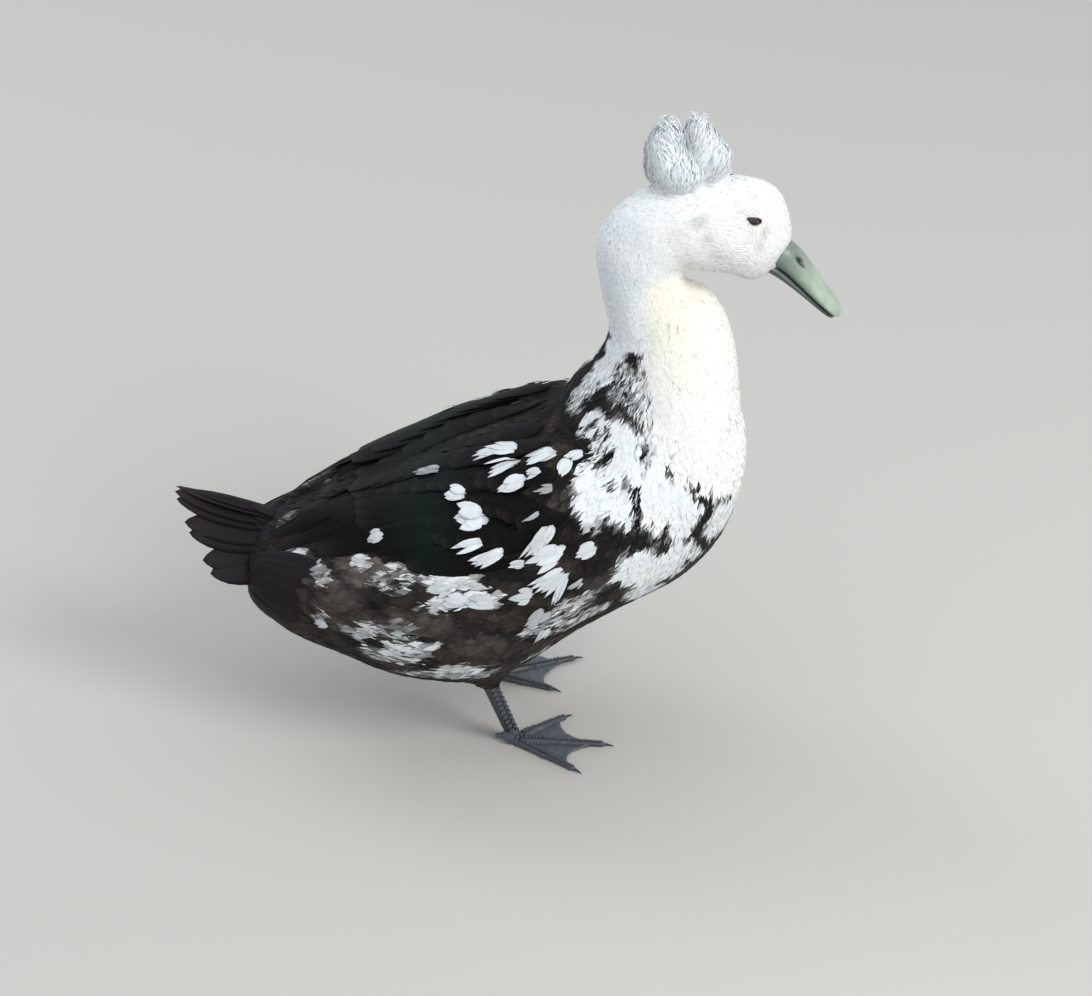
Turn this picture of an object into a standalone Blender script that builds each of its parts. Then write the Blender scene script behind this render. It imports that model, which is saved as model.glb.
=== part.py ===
"""Crested duck, standing, built as closed solids.

X runs from the tail to the bill, Y to the duck's left, Z up. The soles lie on z = 0 and the
origin is below the middle of the body. All sizes are in metres.
"""
import math
from collections import namedtuple

import bmesh
import bpy
import numpy as np
from mathutils import Matrix, Vector

for old in list(bpy.data.objects):
    bpy.data.objects.remove(old, do_unlink=True)

# ---------------------------------------------------------------- sizes
GAP = 0.0003                # clearance between touching pieces
VOXEL = 0.0034              # grain of the blend between the body masses
BODY_FACES = 3100           # triangles kept for head, neck and trunk together
CREST_VOXEL = 0.0020
CREST_FACES = 520
FOOT_VOXEL = 0.0007
FOOT_FACES = 420

HEAD_CUT = (0.110, 0.3485, -4.0)     # x, z and tilt in degrees of the cut under the head
NECK_CUT = (0.100, 0.2680, 12.0)     # the same for the cut between neck and trunk
SLAB_LENGTH = 0.60

EYE_RADIUS = 0.0052
EYE_PLACE = (0.1690, 0.0186, 0.3958)

TOE_TURN = {"right": -4.3, "left": 21.0}                 # heading of the middle toe, degrees
HEEL = {"right": (0.0110, -0.0410), "left": (-0.0050, 0.0430)}
TOES = {                    # turn from the middle toe (outwards plus), length without claw
    "inner": (-43.0, 0.046),
    "middle": (0.0, 0.063),
    "outer": (35.0, 0.054),
}
TOE_BACK = 0.0036
TOE_TIP = 0.0022
WEB_THICK = 0.0018
ANKLE = (0.0066, 0.0058, 0.0078)     # half sizes of the joint above the foot
ANKLE_HEIGHT = 0.0068
KNUCKLE = (0.0042, 0.0035, 0.0031)
HIND_TOE = (-0.0125, 0.0035, 0.0034)                     # its tip from the heel, inwards
CLAW_LENGTH = 0.0072
CLAW_ROOT = 0.0014
CLAW_POINT = 0.00035
THIGH_APART = 0.047                  # middle of the body to the middle of a thigh
SHANK_TOP = 0.074
SHANK_BACK = 0.024
SHANK_LOW_RADIUS = 0.0046
SHANK_HIGH_RADIUS = 0.0053

RECTRICES = 12
TAIL_TIP = (-0.2225, 0.1835)
TAIL_ROOT = (-0.128, 0.1560)
TAIL_SPREAD = 0.063                  # half widths of the fan at its tips and at its root
TAIL_NARROW = 0.026
TAIL_DROP = 0.058
TAIL_THICK = (0.0104, 0.0014)        # at the root and at the tips

# A station is one section of a loft: its middle, the heading of the loft there in degrees
# above +X, the half width across Y and the half heights above and below the middle.
Station = namedtuple("Station", "x z heading width up down")

TRUNK = [
    Station(-0.1800, 0.1340, 0, 0.000, 0.000, 0.000),
    Station(-0.1680, 0.1300, 0, 0.036, 0.027, 0.027),
    Station(-0.1440, 0.1275, 0, 0.057, 0.040, 0.047),
    Station(-0.1100, 0.1290, 0, 0.074, 0.055, 0.062),
    Station(-0.0700, 0.1310, 0, 0.087, 0.071, 0.081),
    Station(-0.0250, 0.1360, 0, 0.094, 0.087, 0.092),
    Station(0.0150, 0.1480, 0, 0.094, 0.088, 0.091),
    Station(0.0550, 0.1680, 0, 0.088, 0.084, 0.082),
    Station(0.0950, 0.1850, 0, 0.077, 0.078, 0.078),
    Station(0.1280, 0.1960, 0, 0.062, 0.068, 0.073),
    Station(0.1530, 0.2060, 0, 0.043, 0.050, 0.057),
    Station(0.1670, 0.2140, 0, 0.024, 0.030, 0.031),
    Station(0.1715, 0.2180, 0, 0.000, 0.000, 0.000),
]
FORENECK = [
    Station(0.1090, 0.1500, 90, 0.000, 0.000, 0.000),
    Station(0.1120, 0.1800, 90, 0.062, 0.048, 0.052),
    Station(0.1170, 0.2300, 90, 0.058, 0.048, 0.050),
    Station(0.1190, 0.2700, 90, 0.049, 0.044, 0.046),
    Station(0.1200, 0.3000, 90, 0.041, 0.038, 0.0405),
    Station(0.1205, 0.3220, 90, 0.032, 0.030, 0.032),
    Station(0.1210, 0.3360, 90, 0.019, 0.018, 0.020),
    Station(0.1210, 0.3405, 90, 0.000, 0.000, 0.000),
]
NECK = [
    Station(0.1320, 0.3900, 215, 0.000, 0.000, 0.000),
    Station(0.1190, 0.3840, 218, 0.0240, 0.0260, 0.0300),
    Station(0.1020, 0.3660, 245, 0.0260, 0.0265, 0.0355),
    Station(0.1000, 0.3400, 270, 0.0255, 0.0260, 0.0300),
    Station(0.1040, 0.3100, 278, 0.0280, 0.0290, 0.028),
    Station(0.1030, 0.2820, 268, 0.0380, 0.0380, 0.036),
    Station(0.0950, 0.2480, 255, 0.0560, 0.0500, 0.048),
    Station(0.0860, 0.2050, 260, 0.0640, 0.0560, 0.054),
    Station(0.0820, 0.1600, 265, 0.000, 0.000, 0.000),
]
HEAD = [
    Station(0.0840, 0.3820, 0, 0.0000, 0.0000, 0.0000),
    Station(0.0940, 0.3830, 0, 0.0190, 0.0215, 0.0200),
    Station(0.1160, 0.3835, 0, 0.0260, 0.0300, 0.0290),
    Station(0.1420, 0.3820, -3, 0.0280, 0.0350, 0.0305),
    Station(0.1610, 0.3800, -7, 0.0275, 0.0372, 0.0308),
    Station(0.1760, 0.3750, -14, 0.0235, 0.0360, 0.0320),
    Station(0.1860, 0.3690, -20, 0.0170, 0.0245, 0.0225),
    Station(0.1945, 0.3655, -30, 0.0000, 0.0000, 0.0000),
]
THIGH = [
    Station(0.0000, 0.1500, -90, 0.000, 0.000, 0.000),
    Station(0.0000, 0.1350, -92, 0.024, 0.030, 0.030),
    Station(-0.0020, 0.1000, -95, 0.023, 0.030, 0.028),
    Station(-0.0060, 0.0720, -100, 0.015, 0.019, 0.018),
    Station(-0.0080, 0.0560, -100, 0.009, 0.010, 0.010),
    Station(-0.0085, 0.0520, -100, 0.000, 0.000, 0.000),
]
BILL_TOP = [
    Station(0.1790, 0.3680, -40, 0.0000, 0.0000, 0.0000),
    Station(0.1850, 0.3640, -42, 0.0110, 0.0115, 0.0068),
    Station(0.1955, 0.3555, -44, 0.0122, 0.0115, 0.0064),
    Station(0.2065, 0.3440, -46, 0.0132, 0.0092, 0.0054),
    Station(0.2165, 0.3335, -47, 0.0150, 0.0066, 0.0044),
    Station(0.2245, 0.3250, -48, 0.0146, 0.0052, 0.0034),
    Station(0.2290, 0.3200, -52, 0.0085, 0.0028, 0.0028),
    Station(0.2302, 0.3182, -54, 0.0000, 0.0000, 0.0000),
]
BILL_BOTTOM = [
    Station(0.1735, 0.3592, -35, 0.0000, 0.0000, 0.0000),
    Station(0.1795, 0.3562, -38, 0.0088, 0.0050, 0.0042),
    Station(0.1905, 0.3485, -40, 0.0098, 0.0050, 0.0036),
    Station(0.2024, 0.3384, -44, 0.0106, 0.0045, 0.0028),
    Station(0.2135, 0.3284, -45, 0.0116, 0.0040, 0.0022),
    Station(0.2214, 0.3212, -46, 0.0106, 0.0034, 0.0018),
    Station(0.2254, 0.3176, -48, 0.0058, 0.0026, 0.0014),
    Station(0.2266, 0.3164, -48, 0.0000, 0.0000, 0.0000),
]

# ---------------------------------------------------------------- collections and materials
parts = bpy.data.collections.new("crested_duck")
cutters = bpy.data.collections.new("cutters")
for group in (parts, cutters):
    bpy.context.scene.collection.children.link(group)
cutters.hide_render = True


def material(name, colour, roughness):
    mat = bpy.data.materials.new(name)
    mat.use_nodes = True
    shader = mat.node_tree.nodes["Principled BSDF"]
    shader.inputs["Base Color"].default_value = (*colour, 1.0)
    shader.inputs["Roughness"].default_value = roughness
    mat.diffuse_color = (*colour, 1.0)
    return mat


WHITE = (0.80, 0.80, 0.76)
BLACK = (0.035, 0.033, 0.032)
SAGE = (0.36, 0.46, 0.31)
SLATE = (0.085, 0.095, 0.115)


# ---------------------------------------------------------------- helpers
def new_object(name, mesh, group=parts):
    obj = bpy.data.objects.new(name, mesh)
    group.objects.link(obj)
    if group is cutters:
        obj.display_type = "WIRE"
    return obj


def from_bmesh(name, bm, group=parts):
    bmesh.ops.recalc_face_normals(bm, faces=bm.faces)
    if bm.calc_volume(signed=True) < 0:
        bmesh.ops.reverse_faces(bm, faces=bm.faces)
    mesh = bpy.data.meshes.new(name)
    bm.to_mesh(mesh)
    bm.free()
    return new_object(name, mesh, group)


def finish_modifiers(obj):
    """Replace the mesh of an object by the result of its modifiers."""
    bpy.context.view_layer.update()
    graph = bpy.context.evaluated_depsgraph_get()
    mesh = bpy.data.meshes.new_from_object(obj.evaluated_get(graph), depsgraph=graph)
    mesh.name = obj.name
    obj.modifiers.clear()
    obj.data = mesh
    return obj


def boolean(obj, other, operation):
    mod = obj.modifiers.new(operation.lower(), "BOOLEAN")
    mod.operation = operation
    mod.solver = "EXACT"
    mod.object = other
    finish_modifiers(obj)


def triangulate(obj):
    bm = bmesh.new()
    bm.from_mesh(obj.data)
    bmesh.ops.remove_doubles(bm, verts=bm.verts, dist=0.00002)
    bmesh.ops.dissolve_degenerate(bm, edges=bm.edges, dist=0.00002)
    bmesh.ops.triangulate(bm, faces=bm.faces)
    bm.to_mesh(obj.data)
    bm.free()


def path_point(stations, t):
    """Values of a smooth curve through the stations; the ends close in a rounded cap."""
    values = [np.array(s, dtype=float) for s in stations]
    cap = np.array([1, 1, 1, -1, -1, -1])
    values = [values[1] * cap] + values + [values[-2] * cap]
    k = min(int(t), len(stations) - 2)
    f = t - k
    a, b, c, d = values[k:k + 4]
    return 0.5 * (2 * b + (c - a) * f + (2 * a - 5 * b + 4 * c - d) * f ** 2
                  + (3 * b - a - 3 * c + d) * f ** 3)


def ring_point(values, angle, y_middle=0.0, grow=0.0, square=2.0):
    """A point of a section; angle 0 points to +Y and 90 degrees to the upper side."""
    x, z, heading, width, up, down = values
    c, s = math.cos(angle), math.sin(angle)
    power = 2.0 / square
    across = math.copysign(abs(c) ** power, c) * max(width, 0.0)
    rise = math.copysign(abs(s) ** power, s) * max(up if s > 0 else down, 0.0)
    if grow and width > 0:
        across += grow * c
        rise += grow * s
    h = math.radians(heading)
    return Vector((x - math.sin(h) * rise, y_middle + across, z + math.cos(h) * rise))


def loft(name, stations, rings, sides, group=parts, y_middle=0.0, grow=0.0, square=2.0):
    """A UV sphere whose rings are moved onto the sections."""
    bm = bmesh.new()
    bmesh.ops.create_uvsphere(bm, u_segments=sides, v_segments=rings, radius=1.0)
    first, last = Vector(stations[0][:2]), Vector(stations[-1][:2])
    for v in bm.verts:
        share = math.acos(max(-1.0, min(1.0, v.co.z))) / math.pi
        angle = math.atan2(v.co.y, v.co.x)
        values = path_point(stations, share * (len(stations) - 1))
        if abs(v.co.z) > 0.99999:
            end, near = (first, stations[1]) if v.co.z > 0 else (last, stations[-2])
            away = (end - Vector(near[:2])).normalized() * grow
            v.co = Vector((end.x + away.x, y_middle, end.y + away.y))
        else:
            v.co = ring_point(values, angle, y_middle, grow, square)
    return from_bmesh(name, bm, group)


def grown_copy(obj, amount):
    """A copy of a closed mesh with its surface moved outwards, used as a cutter."""
    copy = new_object(obj.name + "_room", obj.data.copy(), cutters)
    mesh = copy.data
    moved = [v.co + v.normal * amount for v in mesh.vertices]
    for v, co in zip(mesh.vertices, moved):
        v.co = co
    return copy


def side_sign(side):
    return 1.0 if side == "left" else -1.0


def melt(obj, voxel, softness, faces):
    """Blend joined masses into one smooth surface of about the given number of triangles."""
    blend = obj.modifiers.new("blend", "REMESH")
    blend.mode = "VOXEL"
    blend.voxel_size = voxel
    soften = obj.modifiers.new("soften", "SMOOTH")
    soften.factor = 0.5
    soften.iterations = softness
    finish_modifiers(obj)
    thin = obj.modifiers.new("thin", "DECIMATE")
    thin.ratio = faces / (2 * len(obj.data.polygons))
    thin.use_collapse_triangulate = True
    finish_modifiers(obj)


# ---------------------------------------------------------------- body of one piece
body = loft("body", TRUNK, 48, 40, cutters, square=2.12)
masses = [
    loft("foreneck_mass", FORENECK, 30, 32, cutters),
    loft("neck_mass", NECK, 34, 30, cutters),
    loft("head_mass", HEAD, 30, 30, cutters),
    loft("thigh_mass_right", THIGH, 20, 22, cutters, y_middle=-THIGH_APART),
    loft("thigh_mass_left", THIGH, 20, 22, cutters, y_middle=THIGH_APART),
]
for mass in masses:
    boolean(body, mass, "UNION")

melt(body, VOXEL, 5, BODY_FACES)


def slab(name, low_cut, high_cut):
    """A wedge shaped block between two cuts across the neck."""
    bm = bmesh.new()
    bmesh.ops.create_cube(bm, size=1.0)
    for v in bm.verts:
        x0, z0, tilt = high_cut if v.co.z > 0 else low_cut
        side = -GAP / 2 if v.co.z > 0 else GAP / 2
        x = v.co.x * SLAB_LENGTH
        v.co = Vector((x, v.co.y, z0 + (x - x0) * math.tan(math.radians(tilt)) + side))
    return from_bmesh(name, bm, cutters)


SKY = (0.0, 1.2, 0.0)
GROUND = (0.0, -0.5, 0.0)
flesh = {}
for name, low, high in (("trunk", GROUND, NECK_CUT), ("neck", NECK_CUT, HEAD_CUT),
                        ("head", HEAD_CUT, SKY)):
    piece = new_object(name, body.data.copy())
    boolean(piece, slab(name + "_slab", low, high), "INTERSECT")
    flesh[name] = piece
trunk, neck, head = flesh["trunk"], flesh["neck"], flesh["head"]

# ---------------------------------------------------------------- bill and eyes
bill_upper = loft("bill_upper", BILL_TOP, 14, 14)
bill_lower = loft("bill_lower", BILL_BOTTOM, 14, 12)
bill_room = loft("bill_room", BILL_TOP, 14, 14, cutters, grow=GAP)
boolean(bill_lower, bill_room, "DIFFERENCE")
boolean(head, bill_room, "DIFFERENCE")
boolean(head, loft("bill_lower_room", BILL_BOTTOM, 14, 12, cutters, grow=GAP), "DIFFERENCE")

for side in ("right", "left"):
    place = Matrix.Translation((EYE_PLACE[0], side_sign(side) * EYE_PLACE[1], EYE_PLACE[2]))
    for radius, name, group in ((EYE_RADIUS, "eye_" + side, parts),
                                (EYE_RADIUS + GAP, "eye_room_" + side, cutters)):
        bm = bmesh.new()
        bmesh.ops.create_uvsphere(bm, u_segments=14, v_segments=8, radius=radius, matrix=place)
        ball = from_bmesh(name, bm, group)
        if group is cutters:
            boolean(head, ball, "DIFFERENCE")

# ---------------------------------------------------------------- crest
CREST_LOBES = [             # middle and half sizes of the puffs that make the crest
    ((0.1110, -0.0030, 0.4360), (0.0170, 0.0215, 0.0230)),
    ((0.1315, 0.0030, 0.4360), (0.0180, 0.0210, 0.0235)),
    ((0.1200, 0.0000, 0.4240), (0.0260, 0.0255, 0.0190)),
    ((0.1440, 0.0010, 0.4240), (0.0130, 0.0180, 0.0110)),
]
crest = None
for k, (middle, half) in enumerate(CREST_LOBES):
    bm = bmesh.new()
    shape = Matrix.Translation(middle) @ Matrix.Diagonal((*half, 1.0))
    bmesh.ops.create_uvsphere(bm, u_segments=24, v_segments=16, radius=1.0, matrix=shape)
    puff = from_bmesh("crest" if crest is None else f"crest_puff_{k}", bm,
                      parts if crest is None else cutters)
    if crest is None:
        crest = puff
    else:
        boolean(crest, puff, "UNION")
melt(crest, CREST_VOXEL, 3, CREST_FACES)
boolean(crest, grown_copy(head, GAP), "DIFFERENCE")


# ---------------------------------------------------------------- wings
WING_SHOULDER_X = 0.0620
WING_TIP_X = -0.1500
WING_DEEP = 0.0075          # greatest rise of the wing above the body
WING_EDGE = 0.0016          # rise at its edges
WING_INSIDE = 0.0030        # how far the block starts below the body surface


def wing_limits(s):
    """Angles above the horizontal of the lower and upper edge, s from shoulder to tip."""
    lower = math.radians(np.interp(s, (0.0, 0.10, 0.25, 0.45, 0.62, 0.82, 1.0),
                                   (42.0, 27.0, 20.0, 24.0, 38.0, 60.0, 74.0)))
    upper = math.radians(np.interp(s, (0.0, 0.10, 0.25, 0.45, 0.62, 0.82, 1.0),
                                   (52.0, 68.0, 79.0, 82.0, 83.0, 83.0, 79.0)))
    return lower, upper


def carrier(x):
    """Section of the body that the wing lies on."""
    xs = [station.x for station in TRUNK]
    return path_point(TRUNK, float(np.interp(x, xs, range(len(xs)))))


def wing(side):
    """A grid from shoulder to tip and back to front, closed into a thin leaf."""
    rows, columns = 18, 7
    bm = bmesh.new()
    bmesh.ops.create_grid(bm, x_segments=rows, y_segments=columns, size=1.0)
    bmesh.ops.solidify(bm, geom=bm.faces[:], thickness=0.5)
    top = max(v.co.z for v in bm.verts)
    for v in bm.verts:
        s = (v.co.x + 1) / 2
        c = v.co.y
        outside = abs(v.co.z - top) < 1e-6
        lower, upper = wing_limits(s)
        angle = (lower + upper) / 2 + (upper - lower) / 2 * c
        round_end = max(0.0, 1 - c * c)
        taper = min(1.0, s / 0.10) * min(1.0, (1.0 - s) / 0.30 + 0.22)
        if outside:
            off = WING_EDGE + (WING_DEEP - WING_EDGE) * round_end ** 0.6 * taper
        else:
            off = -WING_INSIDE * (1.0 - 0.8 * max(0.0, (s - 0.6) / 0.4))
        x = WING_SHOULDER_X + (WING_TIP_X - WING_SHOULDER_X) * s
        values = carrier(x)
        point = ring_point(values, angle, square=2.12)
        slope = Vector((0.0, math.cos(angle) / max(values[3], 0.01),
                        math.sin(angle) / max(values[4], 0.01))).normalized()
        point = point + slope * off
        v.co = Vector((point.x, side_sign(side) * point.y, point.z))
    return from_bmesh("wing_" + side, bm)


trunk_room = grown_copy(trunk, GAP + 0.00005)
wings = {}
for side in ("right", "left"):
    wings[side] = wing(side)
    boolean(wings[side], trunk_room, "DIFFERENCE")


# ---------------------------------------------------------------- tail
def tail_height(s, c):
    """Height of the fan at share s of its length and c across it."""
    middle = TAIL_ROOT[1] + (TAIL_TIP[1] - TAIL_ROOT[1]) * s ** 1.15
    return middle - TAIL_DROP * (0.30 + 0.70 * s) * abs(c) ** 1.7


def tail_length(c):
    """Length of the fan at c across it, with one point for each feather."""
    feather = (c + 1) / 2 * RECTRICES
    point = 1 - abs(2 * (feather - math.floor(feather)) - 1)
    return (1 - 0.36 * abs(c) ** 1.5) - 0.075 * (1 - point)


bm = bmesh.new()
bmesh.ops.create_grid(bm, x_segments=5, y_segments=2 * RECTRICES, size=1.0)
bmesh.ops.solidify(bm, geom=bm.faces[:], thickness=0.5)
top = max(v.co.z for v in bm.verts)
for v in bm.verts:
    s, c = (v.co.x + 1) / 2, max(-1.0, min(1.0, v.co.y))
    upper = abs(v.co.z - top) < 1e-6
    reach = tail_length(c) * s
    x = TAIL_ROOT[0] + (TAIL_TIP[0] - TAIL_ROOT[0]) * reach
    half = TAIL_NARROW + (TAIL_SPREAD - TAIL_NARROW) * reach ** 0.8
    thick = TAIL_THICK[0] * (1 - s) + TAIL_THICK[1] * s
    v.co = Vector((x, half * c, tail_height(reach, c) - (0.0 if upper else thick)))
tail = from_bmesh("tail", bm)
boolean(tail, trunk_room, "DIFFERENCE")


# ---------------------------------------------------------------- legs, feet and claws
def rod(name, start, end, start_radius, end_radius, sides=8, flat=1.0, group=cutters):
    """A tapered rod between two points, with its height scaled by flat."""
    start, end = Vector(start), Vector(end)
    axis = end - start
    bm = bmesh.new()
    turn = axis.to_track_quat("Z", "Y").to_matrix().to_4x4()
    place = Matrix.Translation((start + end) / 2) @ turn
    bmesh.ops.create_cone(bm, cap_ends=True, segments=sides, radius1=start_radius,
                          radius2=end_radius, depth=axis.length, matrix=place)
    if flat != 1.0:
        for v in bm.verts:
            v.co.z *= flat
    return from_bmesh(name, bm, group)


def ball(name, middle, half, group=cutters):
    bm = bmesh.new()
    shape = Matrix.Translation(middle) @ Matrix.Diagonal((*half, 1.0))
    bmesh.ops.create_uvsphere(bm, u_segments=8, v_segments=6, radius=1.0, matrix=shape)
    return from_bmesh(name, bm, group)


def web_outline(side):
    """Heel, toe tips and the hollow edge of the skin between them, on the ground."""
    heel = Vector((*HEEL[side], 0.0))
    sign = side_sign(side)
    tips = {}
    for toe, (turn, length) in TOES.items():
        a = math.radians(TOE_TURN[side] + sign * turn)
        tips[toe] = heel + Vector((math.cos(a), math.sin(a), 0.0)) * length
    outline = [heel]
    order = ("inner", "middle", "outer")
    for k, toe in enumerate(order):
        outline.append(heel.lerp(tips[toe], 0.93))
        if k < 2:
            following = tips[order[k + 1]]
            for share in (0.25, 0.5, 0.75):
                sag = 0.90 - 0.13 * math.sin(math.pi * share)
                outline.append(heel.lerp(tips[toe].lerp(following, share), sag))
    return heel, tips, outline


def foot(side):
    heel, tips, outline = web_outline(side)
    bm = bmesh.new()
    corners = [bm.verts.new((p.x, p.y, 0.0005)) for p in outline]
    face = bm.faces.new(corners)
    grown = bmesh.ops.extrude_face_region(bm, geom=[face])
    lifted = [g for g in grown["geom"] if isinstance(g, bmesh.types.BMVert)]
    bmesh.ops.translate(bm, verts=lifted, vec=(0.0, 0.0, WEB_THICK))
    sole = from_bmesh("foot_" + side, bm)
    ankle = heel + Vector((-0.001, 0.0, ANKLE_HEIGHT))
    pieces = [ball("ankle_" + side, ankle, ANKLE)]
    for toe, tip in tips.items():
        start = heel + Vector((0.0, 0.0, TOE_BACK * 0.8))
        end = tip + Vector((0.0, 0.0, TOE_TIP * 0.8))
        pieces.append(rod(f"toe_{toe}_{side}", start, end, TOE_BACK, TOE_TIP))
        pieces.append(ball(f"pad_{toe}_{side}", end, (TOE_TIP * 1.25, TOE_TIP * 1.25, TOE_TIP)))
        pieces.append(ball(f"knuckle_{toe}_{side}", start.lerp(end, 0.55), KNUCKLE))
    back = heel + Vector((HIND_TOE[0], -side_sign(side) * HIND_TOE[1], HIND_TOE[2]))
    pieces.append(rod("hind_toe_" + side, ankle, back, 0.0030, 0.0019))
    for piece in pieces:
        boolean(sole, piece, "UNION")
    melt(sole, FOOT_VOXEL, 2, FOOT_FACES)
    bm = bmesh.new()
    bmesh.ops.create_cube(bm, size=1.0, matrix=Matrix.Translation((0.0, 0.0, 0.5)))
    above = from_bmesh("above_ground_" + side, bm, cutters)
    boolean(sole, above, "INTERSECT")
    return sole, heel, tips


def shank(side, heel, grow, name, group):
    """The bare leg from the ankle up into the feathers of the thigh."""
    low = heel + Vector((-0.0015, 0.0, 0.0110))
    high = Vector((heel.x - SHANK_BACK, side_sign(side) * THIGH_APART, SHANK_TOP))
    leg = rod(name, low, high, SHANK_LOW_RADIUS + grow, SHANK_HIGH_RADIUS + grow, sides=12,
              group=group)
    if grow:
        for v in leg.data.vertices:
            end = low if (v.co - low).length < (v.co - high).length else high
            v.co += (end - (low + high) / 2).normalized() * grow
    return leg


def claw(name, base, heading):
    """A short curved claw: a cone whose rings turn down towards its point."""
    bm = bmesh.new()
    bmesh.ops.create_cone(bm, cap_ends=True, segments=6, radius1=CLAW_ROOT,
                          radius2=CLAW_POINT, depth=CLAW_LENGTH)
    bmesh.ops.subdivide_edges(bm, edges=[e for e in bm.edges if abs(
        e.verts[0].co.z - e.verts[1].co.z) > 0.001], cuts=2, use_grid_fill=True)
    turn = Matrix.Rotation(heading, 4, "Z")
    for v in bm.verts:
        s = v.co.z / CLAW_LENGTH + 0.5
        rise = v.co.x * 1.1 + 0.0018 - 0.0012 * s * s
        v.co = base + turn @ Vector((s * CLAW_LENGTH, v.co.y * 0.8, max(rise, 0.00012)))
    return from_bmesh(name, bm)


for side in ("right", "left"):
    sole, heel, tips = foot(side)
    leg = shank(side, heel, 0.0, "leg_" + side, parts)
    boolean(leg, grown_copy(sole, GAP), "DIFFERENCE")
    boolean(trunk, shank(side, heel, GAP, "leg_room_" + side, cutters), "DIFFERENCE")
    for toe, tip in tips.items():
        way = (tip - heel).normalized()
        heading = math.atan2(way.y, way.x)
        nail = claw(f"claw_{toe}_{side}", tip + way * 0.0012, heading)
        boolean(nail, grown_copy(sole, GAP), "DIFFERENCE")

# ---------------------------------------------------------------- materials
LOOKS = {
    "trunk": (BLACK, 0.75), "neck": (WHITE, 0.85), "head": (WHITE, 0.85),
    "crest": (WHITE, 0.9), "bill_upper": (SAGE, 0.45), "bill_lower": (SAGE, 0.5),
    "eye_right": (BLACK, 0.08), "eye_left": (BLACK, 0.08),
    "wing_right": (BLACK, 0.45), "wing_left": (BLACK, 0.45), "tail": (BLACK, 0.6),
}
for obj in parts.objects:
    colour, rough = LOOKS.get(obj.name, (SLATE, 0.6))
    obj.data.materials.clear()
    obj.data.materials.append(material(obj.name, colour, rough))
    triangulate(obj)

# ---------------------------------------------------------------- origin
ends = [v.co.x for obj in parts.objects for v in obj.data.vertices]
middle = Matrix.Translation((-(min(ends) + max(ends)) / 2, 0.0, 0.0))
for obj in parts.objects:
    obj.data.transform(middle)
    obj.data.shade_smooth()
print("moved along X by", round(middle.translation.x, 5))

total = sum(len(obj.data.polygons) for obj in parts.objects)
for obj in sorted(parts.objects, key=lambda o: o.name):
    print(obj.name, len(obj.data.polygons), [round(d, 4) for d in obj.dimensions])
print("triangles", total)
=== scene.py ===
# %% [markdown]
# # A crested duck, life size
# The solids of the frame give the true outline, out to the tips of the feathers. Here the bird
# gets what a taxidermist would give it: one skin, a coat of separate feathers that lie the way
# they grow, and a carefully made head, bill, eyes and feet.

import math
from collections import namedtuple

import bmesh
import bpy
import numpy as np
from mathutils import Matrix, Vector
from mathutils.bvhtree import BVHTree


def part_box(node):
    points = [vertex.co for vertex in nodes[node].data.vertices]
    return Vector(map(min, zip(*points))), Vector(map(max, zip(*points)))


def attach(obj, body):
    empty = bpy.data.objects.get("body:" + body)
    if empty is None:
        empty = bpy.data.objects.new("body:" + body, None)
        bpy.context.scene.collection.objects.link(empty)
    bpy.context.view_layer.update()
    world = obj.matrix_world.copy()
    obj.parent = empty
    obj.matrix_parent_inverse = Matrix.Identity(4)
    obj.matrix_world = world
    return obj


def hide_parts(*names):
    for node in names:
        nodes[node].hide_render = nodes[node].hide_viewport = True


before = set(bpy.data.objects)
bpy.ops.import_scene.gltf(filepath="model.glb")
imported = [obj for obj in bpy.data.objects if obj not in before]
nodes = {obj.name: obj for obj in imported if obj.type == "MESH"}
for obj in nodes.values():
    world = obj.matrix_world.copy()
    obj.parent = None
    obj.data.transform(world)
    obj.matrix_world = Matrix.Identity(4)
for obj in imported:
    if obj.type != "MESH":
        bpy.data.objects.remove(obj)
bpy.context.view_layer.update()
MM = 0.001
SIDES = {"right": -1.0, "left": 1.0}

# %% [markdown]
# ## Camera, floor and light
# The camera looks down on the bird by thirty degrees, as a standing visitor would. It could be
# set by hand, but a place, a point to look at and a lens say the same in three values. A long
# lens keeps the proportions true. The floor is a plain pale sheet, and the light is a bright
# overcast sky with a broad soft lamp in front and a weaker one behind.

# %% Camera
camera_data = bpy.data.cameras.new("camera")
camera = bpy.data.objects.new("camera", camera_data)
bpy.context.scene.collection.objects.link(camera)
LOOK_AT = Vector((0.029662, 0.0, 0.175561))
LOOK_DOWN = math.radians(30.0)
STAND_OFF = 2.2
FILM_WIDTH = 36.0
LENS = 105.16
camera.location = LOOK_AT + STAND_OFF * Vector((0.0, -math.cos(LOOK_DOWN), math.sin(LOOK_DOWN)))
camera.rotation_euler = (LOOK_AT - camera.location).to_track_quat("-Z", "Y").to_euler()
camera_data.sensor_width = FILM_WIDTH
camera_data.lens = LENS
bpy.context.scene.camera = camera
print("camera at", [round(c, 3) for c in camera.location])


# %% Floor, sky and lamps
def link_new(name, mesh):
    piece = bpy.data.objects.new(name, mesh)
    bpy.context.scene.collection.objects.link(piece)
    return piece


def mesh_of(bm, name):
    mesh = bpy.data.meshes.new(name)
    bm.to_mesh(mesh)
    bm.free()
    return mesh


def plain_material(name, colour, roughness):
    mat = bpy.data.materials.new(name)
    mat.use_nodes = True
    shader = mat.node_tree.nodes["Principled BSDF"]
    shader.inputs["Base Color"].default_value = (*colour, 1.0)
    shader.inputs["Roughness"].default_value = roughness
    return mat, mat.node_tree, shader


FLOOR_HALF = 7.0
FLOOR_GREY = (0.50, 0.485, 0.46)
SKY_BLUE = (0.92, 0.96, 1.0)
SKY_LIGHT = 0.85

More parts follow.
